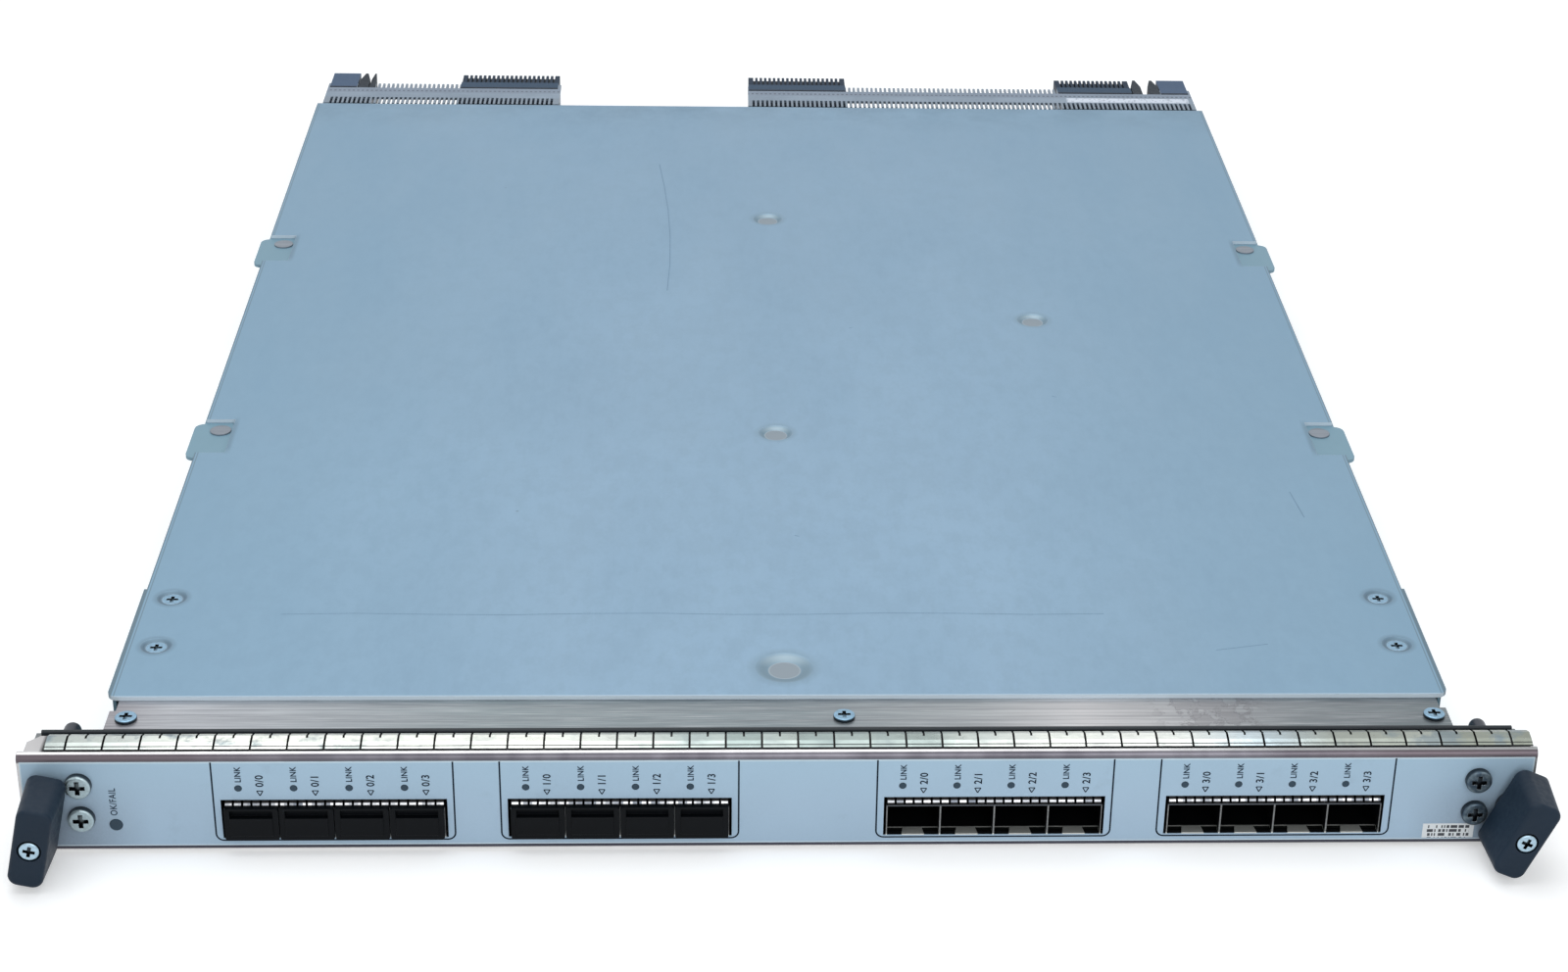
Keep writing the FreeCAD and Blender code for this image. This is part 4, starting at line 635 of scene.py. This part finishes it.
def connector_finish(name, colour, rear_colour):
    """Moulded connector: dusty top, its rear step in its own colour, a painted shadow as a
    near-black front line, and painted shade in its slots."""
    n = Nodes(name)
    fine = n.noise(2200.0, 3.0, 0.6)
    shade = n.mottled(fine, colour, 0.88, 1.12)
    depth = n.axis("Y")
    rear = n.span(depth, behind(519.0), behind(519.6))
    shade = n.mix(rear, shade, rear_colour)
    # Painted shadow along the gap at the front.
    line = n.span(depth, behind(513.6), behind(513.0))
    shade = n.mix(n.times(line, 0.85), shade, srgb(22, 28, 38))
    # Painted shade in the slots and recesses.
    shade = n.mix(n.times(n.hollow(1.0 * MM), 0.85), shade, srgb(22, 28, 36))
    edge_tone = n.times(n.edge_mask(0.12 * MM), 0.25)
    shade = n.mix(edge_tone, shade, tone(colour, 1.6))
    n.put(Base_Color=shade, Specular_IOR_Level=0.12, Roughness=n.span(fine, 0.3, 0.7, 0.42, 0.58))
    n.put(Normal=n.bump(fine, 0.25, 0.04 * MM, n.soft_edges(0.12 * MM)))
    return n.material


def label_finish():
    """White stock with rows of short plain bars and no writing."""
    bar_length, row_height, low = 0.36 * MM, 1.25 * MM, 3.1 * MM
    n = Nodes("plain_bar_plate")
    x, z = n.axis("X"), n.axis("Z")
    column = n.math("FLOOR", n.times(x, 1.0 / bar_length))
    height = n.times(n.math("SUBTRACT", z, low), 1.0 / row_height)
    pick = n.random(n.math("ADD", n.times(n.math("FLOOR", height), 71.3), column))
    dark_mask = n.math("GREATER_THAN", pick, 0.44)
    for kind, value, limit in (("LESS_THAN", n.math("FRACT", height), 0.72),
                               ("LESS_THAN", x, 182.2 * MM), ("GREATER_THAN", x, 170.8 * MM),
                               ("LESS_THAN", z, 6.6 * MM)):
        dark_mask = n.times(dark_mask, n.math(kind, value, limit))
    n.put(Base_Color=n.mix(dark_mask, srgb(226, 230, 232), srgb(58, 62, 68)), Roughness=0.6)
    n.put(Normal=n.bump(n.noise(2000.0), 0.05, 0.02 * MM))
    return n.material


def print_ink(name, colour):
    n = Nodes(name)
    spots = n.noise(2600.0, 2.0, 0.5)
    n.put(Base_Color=n.mottled(spots, colour, 0.8, 1.25),
          Roughness=0.5, Specular_IOR_Level=0.1)
    return n.material


def board_finish():
    """Solder mask with faint copper runs under it, and painted shade towards the front."""
    n = Nodes("board_mask")
    runs = n.cells(260.0, stretch=(1.0, 0.22, 1.0))
    rows = n.cells(160.0, stretch=(0.2, 1.0, 1.0), place=(0.4, 0.2, 0))
    colour = n.mix(n.span(runs, 0.20, 0.24, 0.0, 0.5), srgb(18, 74, 46), srgb(38, 104, 66))
    colour = n.mix(n.span(rows, 0.22, 0.25, 0.0, 0.35), colour, srgb(30, 92, 58))
    # Painted shade: the board goes near black towards the front.
    front = n.span(n.axis("Y"), behind(30.0), behind(22.0))
    colour = n.mix(front, colour, srgb(8, 10, 10))
    n.put(Base_Color=colour, Roughness=n.span(runs, 0.1, 0.4, 0.35, 0.45),
          Specular_IOR_Level=n.span(front, 0.0, 1.0, 0.5, 0.05))
    n.put(Normal=n.bump(runs, 0.1, 0.05 * MM, n.soft_edges(0.1 * MM)))
    return n.material


MATERIALS = {
    "faceplate": panel_edge_finish(),
    "faceplate_film": film_finish(),
    "faceplate_screws": screw_finish("panel_screw_zinc", srgb(160, 178, 184), (0, -1, 0), True),
    "blank_plate": label_finish(),
    "emi_gasket": gasket_finish(),
    "top_cover": cover_finish(),
    # Its darker edge colour is painted shade for the slits round the ears.
    "base_tray": cover_finish("tray_blue_grey", srgb(130, 161, 178), pressings=False,
                              edge_tone=srgb(98, 122, 134)),
    "front_bracket": bracket_finish(),
    "cage_spring_strips": finger_finish(),
    "main_board": board_finish(),
}
SHARED = {
    screw_finish("zinc_screw", srgb(132, 166, 190), (0, 0, 1)): [
        "bracket_screws", "board_screws", "cover_screws"],
    screw_finish("handle_screw_zinc", srgb(166, 192, 208), (0, -1, 0)): pair("ejector_screw"),
    brushed("clip_steel", srgb(150, 154, 158), 0.30, "X", 0.12): pair("ejector_clip"),
    brushed("zinc_post", srgb(180, 182, 180), 0.32, "Z", 0.15): ["bracket_posts",
                                                                 "board_standoffs"],
    brushed("ear_rivet_plating", srgb(128, 136, 146), 0.40, "X", 0.12, metal=0.5,
            edge=srgb(92, 102, 112), edge_radius=0.3 * MM): ["ear_rivets"],
    cage_finish(): CAGES,
    plain("connector_black", srgb(18, 19, 21), 0.6, bump=0.2, specular=0.15): [
        "port_connectors", "phy_chips", "memory_chips"],
    plain("plug_black", srgb(7, 10, 14), 0.42, grain=300.0, bump=0.12, specular=0.10,
          edge=srgb(22, 27, 32), edge_radius=0.2 * MM): numbered("dust_plug", 8),
    plain("lamp_moulding", srgb(40, 62, 78), 0.20, bump=0.05, specular=0.3): [
        "light_pipes", "status_light_pipe"],
    plain("block_grey", srgb(120, 124, 126), 0.55, metal=0.5, bump=0.5,
          edge=srgb(205, 210, 214)): pair("ejector_block"),
    plain("bushing_black", srgb(28, 34, 40), 0.35, bump=0.1, specular=0.3,
          edge=srgb(70, 80, 90)): pair("ejector_bushing"),
    plain("handle_slate", srgb(24, 39, 54), 0.52, grain=700.0, bump=0.5, specular=0.2,
          edge=srgb(48, 62, 76), edge_radius=0.5 * MM): pair("ejector_handle"),
    brushed("shaft_dark", srgb(62, 66, 74), 0.36, "Y", 0.3, edge=srgb(120, 126, 132),
            metal=0.6): pair("ejector_shaft"),
    stiffener_finish(): pair("connector_stiffener"),
    connector_finish("guide_blue_grey", srgb(72, 92, 118), srgb(70, 90, 116)):
        pair("guide_block"),
    plain("blade_plating", srgb(34, 44, 54), 0.45, grain=900.0, specular=0.1,
          edge=srgb(104, 118, 130), edge_radius=0.1 * MM): pair("alignment_blades"),
    connector_finish("connector_blue_grey", srgb(50, 72, 94), srgb(22, 42, 62)):
        numbered("signal_module", 3),
    brushed("chip_lid_nickel", srgb(186, 188, 192), 0.3, "X", 0.1): ["forwarding_chips"],
    brushed("sink_aluminium", srgb(188, 192, 196), 0.36, "X", 0.3): ["heat_sinks"],
    plain("power_black", srgb(40, 41, 44), 0.45, metal=0.3, edge=srgb(110, 112, 116)): [
        "power_modules"],
    plain("inductor_grey", srgb(84, 86, 88), 0.7, bump=0.6): ["inductors"],
    brushed("can_bright", srgb(196, 200, 204), 0.3, "Z", 0.1): ["capacitors"],
}


def dress(node, material):
    obj = NODES[node]
    if not obj.material_slots:
        obj.data.materials.append(material)
    for holder in obj.material_slots:
        holder.material = material


for node, material in MATERIALS.items():
    dress(node, material)
for material, nodes in SHARED.items():
    for node in nodes:
        dress(node, material)


# ---------------------------------------------------------------- printed pieces
PRINT_LIFT = 0.02 * MM
PRINT_THICK = 0.01 * MM
LEGEND_LIFT = PRINT_LIFT * 1.5
LEGEND_SPACING = 1.08
ARC_POINTS = 7
OUTLINE_LOW = 3.6 * MM
OUTLINE_HIGH = FILM_HIGH - 0.1 * MM
OUTLINE_ROUND = 2.0 * MM
OUTLINE_WIDTH = 0.44 * MM
OUTLINE_MARGINS = ((2.5, 2.5), (2.5, 2.5), (2.6, 2.5), (2.6, 2.6))   # left and right, in mm
LAMP_IN = 4.1 * MM                         # a lamp's middle, from its port's left side
LINK_PLACE = (0.85 * MM, 21.4 * MM)        # across from the lamp, and height
NUMBER_PLACE = (6.5 * MM, 20.0 * MM)
ARROW_PLACE = (5.5 * MM, 18.1 * MM)
ARROW_HALF, ARROW_UP, ARROW_DOWN = 0.8 * MM, 0.7 * MM, 0.75 * MM
ARROW_LINE = 0.28 * MM
STATUS_PLACE = (-173.6 * MM, 11.4 * MM)
RUB_WIDTH = 0.30 * MM
RUB_LIFT = 0.004 * MM
INK = print_ink("print_dark_blue", srgb(16, 27, 42))
LEGEND_INK = print_ink("print_slate", srgb(30, 45, 62))


def place_piece(name, work, material, body):
    """Turn a finished bmesh into one mesh object that rides on a body."""
    mesh = bpy.data.meshes.new(name)
    work.to_mesh(mesh)
    work.free()
    obj = bpy.data.objects.new(name, mesh)
    bpy.context.scene.collection.objects.link(obj)
    mesh.materials.append(material)
    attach(obj, body)


def piece(name, mesh_builder, material, body):
    """One mesh object from a bmesh builder, riding on a body."""
    work = bmesh.new()
    mesh_builder(work)
    bmesh.ops.recalc_face_normals(work, faces=work.faces)
    place_piece(name, work, material, body)


def ribbon(work, path, width, surface, axis, thick=PRINT_THICK):
    """A flat line along a path of points in the plane of a surface.  Axis says which
    coordinate is held: 'y' for the faceplate and 'z' for the cover."""
    half = width / 2.0
    rows = []
    for index, (a, b) in enumerate(path):
        before = path[max(index - 1, 0)]
        after = path[min(index + 1, len(path) - 1)]
        run = Vector((after[0] - before[0], after[1] - before[1])).normalized()
        side = Vector((-run.y, run.x)) * half
        rows.append(((a + side.x, b + side.y), (a - side.x, b - side.y)))

    def place(point, lift):
        if axis == "y":
            return (point[0], surface - lift, point[1])
        return (point[0], point[1], surface + lift)

    made = [[work.verts.new(place(point, lift)) for point in row for lift in (0.0, thick)]
            for row in rows]
    for first, second in zip(made, made[1:]):
        work.faces.new((first[1], second[1], second[3], first[3]))
        work.faces.new((first[0], first[2], second[2], second[0]))
        work.faces.new((first[0], second[0], second[1], first[1]))
        work.faces.new((first[2], first[3], second[3], second[2]))
    for end in (made[0], made[-1]):
        work.faces.new((end[0], end[1], end[3], end[2]))


def arc(centre, radius, start, stop):
    """Points on part of a circle, from one angle to another, in degrees."""
    turns = [math.radians(start + (stop - start) * i / (ARC_POINTS - 1))
             for i in range(ARC_POINTS)]
    return [(centre[0] + radius * math.cos(turn), centre[1] + radius * math.sin(turn))
            for turn in turns]


def group_outlines(work):
    """Thin printed frame round each group of ports, open at the film's upper edge."""
    for cage, (left_margin, right_margin) in zip(CAGES, OUTLINE_MARGINS):
        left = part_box(cage)[0].x - left_margin * MM
        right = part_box(cage)[1].x + right_margin * MM
        low = OUTLINE_LOW + OUTLINE_ROUND
        path = [(left, OUTLINE_HIGH)]
        path += arc((left + OUTLINE_ROUND, low), OUTLINE_ROUND, 180, 270)
        path += arc((right - OUTLINE_ROUND, low), OUTLINE_ROUND, 270, 360)
        path.append((right, OUTLINE_HIGH))
        ribbon(work, path, OUTLINE_WIDTH, FILM_FRONT - PRINT_LIFT, "y")


piece("group_outlines", group_outlines, INK, "card")


def legend(name, words, size, material, squash, weight):
    """Printed words that read upwards, as one mesh.  Words is a list of
    (text, x, z) with the baseline's start."""
    upwards = Matrix(((0, -1, 0, 0), (0, 0, -1, 0), (1, 0, 0, 0), (0, 0, 0, 1)))
    parts = []
    for index, (text, x, z) in enumerate(words):
        curve = bpy.data.curves.new("%s_%d" % (name, index), "FONT")
        curve.body = text
        curve.size = size
        curve.space_character = LEGEND_SPACING
        curve.resolution_u = 3
        curve.offset = weight
        obj = bpy.data.objects.new(curve.name, curve)
        bpy.context.scene.collection.objects.link(obj)
        obj.matrix_world = (Matrix.Translation((x, FILM_FRONT - LEGEND_LIFT, z)) @ upwards
                            @ Matrix.Diagonal((squash, 1, 1, 1)))
        parts.append(obj)
    bpy.context.view_layer.update()
    graph = bpy.context.evaluated_depsgraph_get()
    joined = bmesh.new()
    for obj in parts:
        mesh = bpy.data.meshes.new_from_object(obj.evaluated_get(graph))
        mesh.transform(obj.matrix_world)
        joined.from_mesh(mesh)
        bpy.data.meshes.remove(mesh)
    for obj in parts:
        bpy.data.objects.remove(obj)
    place_piece(name, joined, material, "card")


link_words, port_words, arrows = [], [], []
for group, cage in enumerate(CAGES):
    for port in range(4):
        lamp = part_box(cage)[0].x + PORT_PITCH * port + LAMP_IN
        link_words.append(("LINK", lamp + LINK_PLACE[0], LINK_PLACE[1]))
        port_words.append(("%d/%d" % (group, port), lamp + NUMBER_PLACE[0], NUMBER_PLACE[1]))
        arrows.append((lamp + ARROW_PLACE[0], ARROW_PLACE[1]))
legend("lamp_legends", link_words, 2.2 * MM, LEGEND_INK, 0.93, 0.05 * MM)
legend("port_numbers", port_words, 2.87 * MM, INK, 0.93, 0.05 * MM)
legend("status_legend", [("OK/FAIL", *STATUS_PLACE)], 2.5 * MM, LEGEND_INK, 0.87, 0.03 * MM)


def port_arrows(work):
    """Small outlined triangle below each port number, pointing down at its port."""
    for x, z in arrows:
        tip = (x, z - ARROW_DOWN)
        path = [tip, (x - ARROW_HALF, z + ARROW_UP), (x + ARROW_HALF, z + ARROW_UP), tip]
        for first, second in zip(path, path[1:]):
            ribbon(work, [first, second], ARROW_LINE, FILM_FRONT - PRINT_LIFT, "y")


piece("port_arrows", port_arrows, INK, "card")


# ---------------------------------------------------------------- handling marks
def scratches(work):
    """Hair-thin rubs on the cover, each a path of (x, depth) in millimetres."""
    marks = [[(-40.9, 422.9), (-38.7, 400.4), (-36.8, 375.7),
              (-35.7, 350.0), (-35.4, 324.5), (-36.0, 300.8)],
             [(-140 + 21.0 * t, 72.6 + 0.5 * math.sin(t * 1.7)) for t in range(12)],
             [(157 + 0.4 * t, 148 - 4.2 * t) for t in range(5)],
             [(120 + 5.0 * t, 52 + 1.1 * t) for t in range(4)],
             [(26.2, 269.3), (27.6, 270.2)], [(4.4, 119.5), (5.8, 118.9)],
             [(90.4, 216.1), (91.8, 215.2)]]
    for mark in marks:
        ribbon(work, [(x * MM, behind(depth)) for x, depth in mark], RUB_WIDTH,
               COVER_TOP + RUB_LIFT, "z", RUB_LIFT)


piece("cover_rubs", scratches, print_ink("rub_grey", srgb(108, 136, 158)), "card")


# ---------------------------------------------------------------- floor, light, camera
FLOOR_HALF = 12.0                          # metres
FLOOR_DROP = 0.2 * MM
FLOOR_GLOW = 0.34
FILL_LIGHT = 0.52
CAMERA_PLACE = (-18.203, -900.303, 444.338)            # millimetres
CAMERA_PITCH, CAMERA_YAW, CAMERA_ROLL = 0.47576, 0.06288, -0.03022
CAMERA_LENS = 68.274
CAMERA_SHIFT = (-0.0640, 0.0049)


def seen_straight(tree):
    """1 for what is seen straight, mirrored or through glass, and 0 for its light."""
    path = tree.nodes.new("ShaderNodeLightPath")
    seen = path.outputs["Is Camera Ray"]
    for kind in ("Is Glossy Ray", "Is Transmission Ray"):
        node = tree.nodes.new("ShaderNodeMath")
        node.operation = "MAXIMUM"
        tree.links.new(seen, node.inputs[0])
        tree.links.new(path.outputs[kind], node.inputs[1])
        seen = node.outputs[0]
    return seen


def floor_material():
    """Pale floor that keeps the shadow and reads as white behind the object."""
    n = Nodes("pale_floor")
    tree = n.tree
    n.put(Base_Color=n.mix(n.span(n.noise(3.0, 2.0), 0.3, 0.7), (0.80, 0.80, 0.80),
                           (0.82, 0.82, 0.82)), Roughness=0.9, Specular_IOR_Level=0.1)
    glow = tree.nodes.new("ShaderNodeEmission")
    glow.inputs["Color"].default_value = (1, 1, 1, 1)
    tree.links.new(n.times(seen_straight(tree), FLOOR_GLOW), glow.inputs["Strength"])
    add = tree.nodes.new("ShaderNodeAddShader")
    tree.links.new(n.shader.outputs[0], add.inputs[0])
    tree.links.new(glow.outputs[0], add.inputs[1])
    tree.links.new(add.outputs[0], n.out.inputs["Surface"])
    return n.material


def make_floor():
    mesh = bpy.data.meshes.new("floor")
    level = CAD_BOX[0].z - FLOOR_DROP
    corners = ((-1, -1), (1, -1), (1, 1), (-1, 1))
    mesh.from_pydata([(x * FLOOR_HALF, y * FLOOR_HALF, level) for x, y in corners], [],
                     [(0, 1, 2, 3)])
    floor = bpy.data.objects.new("floor", mesh)
    bpy.context.scene.collection.objects.link(floor)
    mesh.materials.append(floor_material())


def make_world():
    """White where it is seen, and a soft cool fill where it lights."""
    world = bpy.data.worlds.new("studio")
    bpy.context.scene.world = world
    world.use_nodes = True
    tree = world.node_tree
    tree.nodes.clear()
    out = tree.nodes.new("ShaderNodeOutputWorld")
    mix = tree.nodes.new("ShaderNodeMixShader")
    tree.links.new(seen_straight(tree), mix.inputs[0])
    for index, colour, strength in ((1, (0.93, 0.97, 1.0, 1), FILL_LIGHT), (2, (1, 1, 1, 1), 1.0)):
        light = tree.nodes.new("ShaderNodeBackground")
        light.inputs["Color"].default_value = colour
        light.inputs["Strength"].default_value = strength
        tree.links.new(light.outputs[0], mix.inputs[index])
    tree.links.new(mix.outputs[0], out.inputs["Surface"])


def make_lamp(name, place, aim, size, power, colour=(1, 1, 1)):
    light = bpy.data.lights.new(name, "AREA")
    light.shape = "RECTANGLE"
    light.size, light.size_y = size
    light.energy = power
    light.color = colour
    obj = bpy.data.objects.new(name, light)
    obj.location = place
    obj.rotation_euler = (Vector(aim) - Vector(place)).to_track_quat("-Z", "Y").to_euler()
    bpy.context.scene.collection.objects.link(obj)


def make_camera():
    """Camera at the viewing angle: its place, and its turns about the object's frame."""
    pitch, yaw, roll = CAMERA_PITCH, CAMERA_YAW, CAMERA_ROLL
    place = Vector(CAMERA_PLACE) * MM
    ahead = Vector((math.sin(yaw) * math.cos(pitch), math.cos(yaw) * math.cos(pitch),
                    -math.sin(pitch)))
    level = Vector((math.cos(yaw), -math.sin(yaw), 0.0))
    under = ahead.cross(level)
    right = level * math.cos(roll) + under * math.sin(roll)
    down = under * math.cos(roll) - level * math.sin(roll)
    data = bpy.data.cameras.new("camera")
    data.sensor_fit = "HORIZONTAL"
    data.sensor_width = 36.0
    data.lens = CAMERA_LENS
    data.shift_x, data.shift_y = CAMERA_SHIFT
    data.clip_start, data.clip_end = 0.05, 60.0
    camera = bpy.data.objects.new("camera", data)
    camera.matrix_world = Matrix(((right.x, -down.x, -ahead.x, place.x),
                                  (right.y, -down.y, -ahead.y, place.y),
                                  (right.z, -down.z, -ahead.z, place.z), (0, 0, 0, 1)))
    bpy.context.scene.collection.objects.link(camera)
    bpy.context.scene.camera = camera


make_floor()
make_world()
make_lamp("overhead", (-0.2, 0.1, 1.6), (0.0, 0.0, 0.0), (1.6, 1.2), 13.0, (0.97, 0.99, 1.0))
make_lamp("front_fill", (0.3, -1.7, 0.9), (0.0, -0.2, 0.0), (1.4, 0.8), 9.0)
make_camera()
bpy.context.scene.view_settings.view_transform = "Standard"
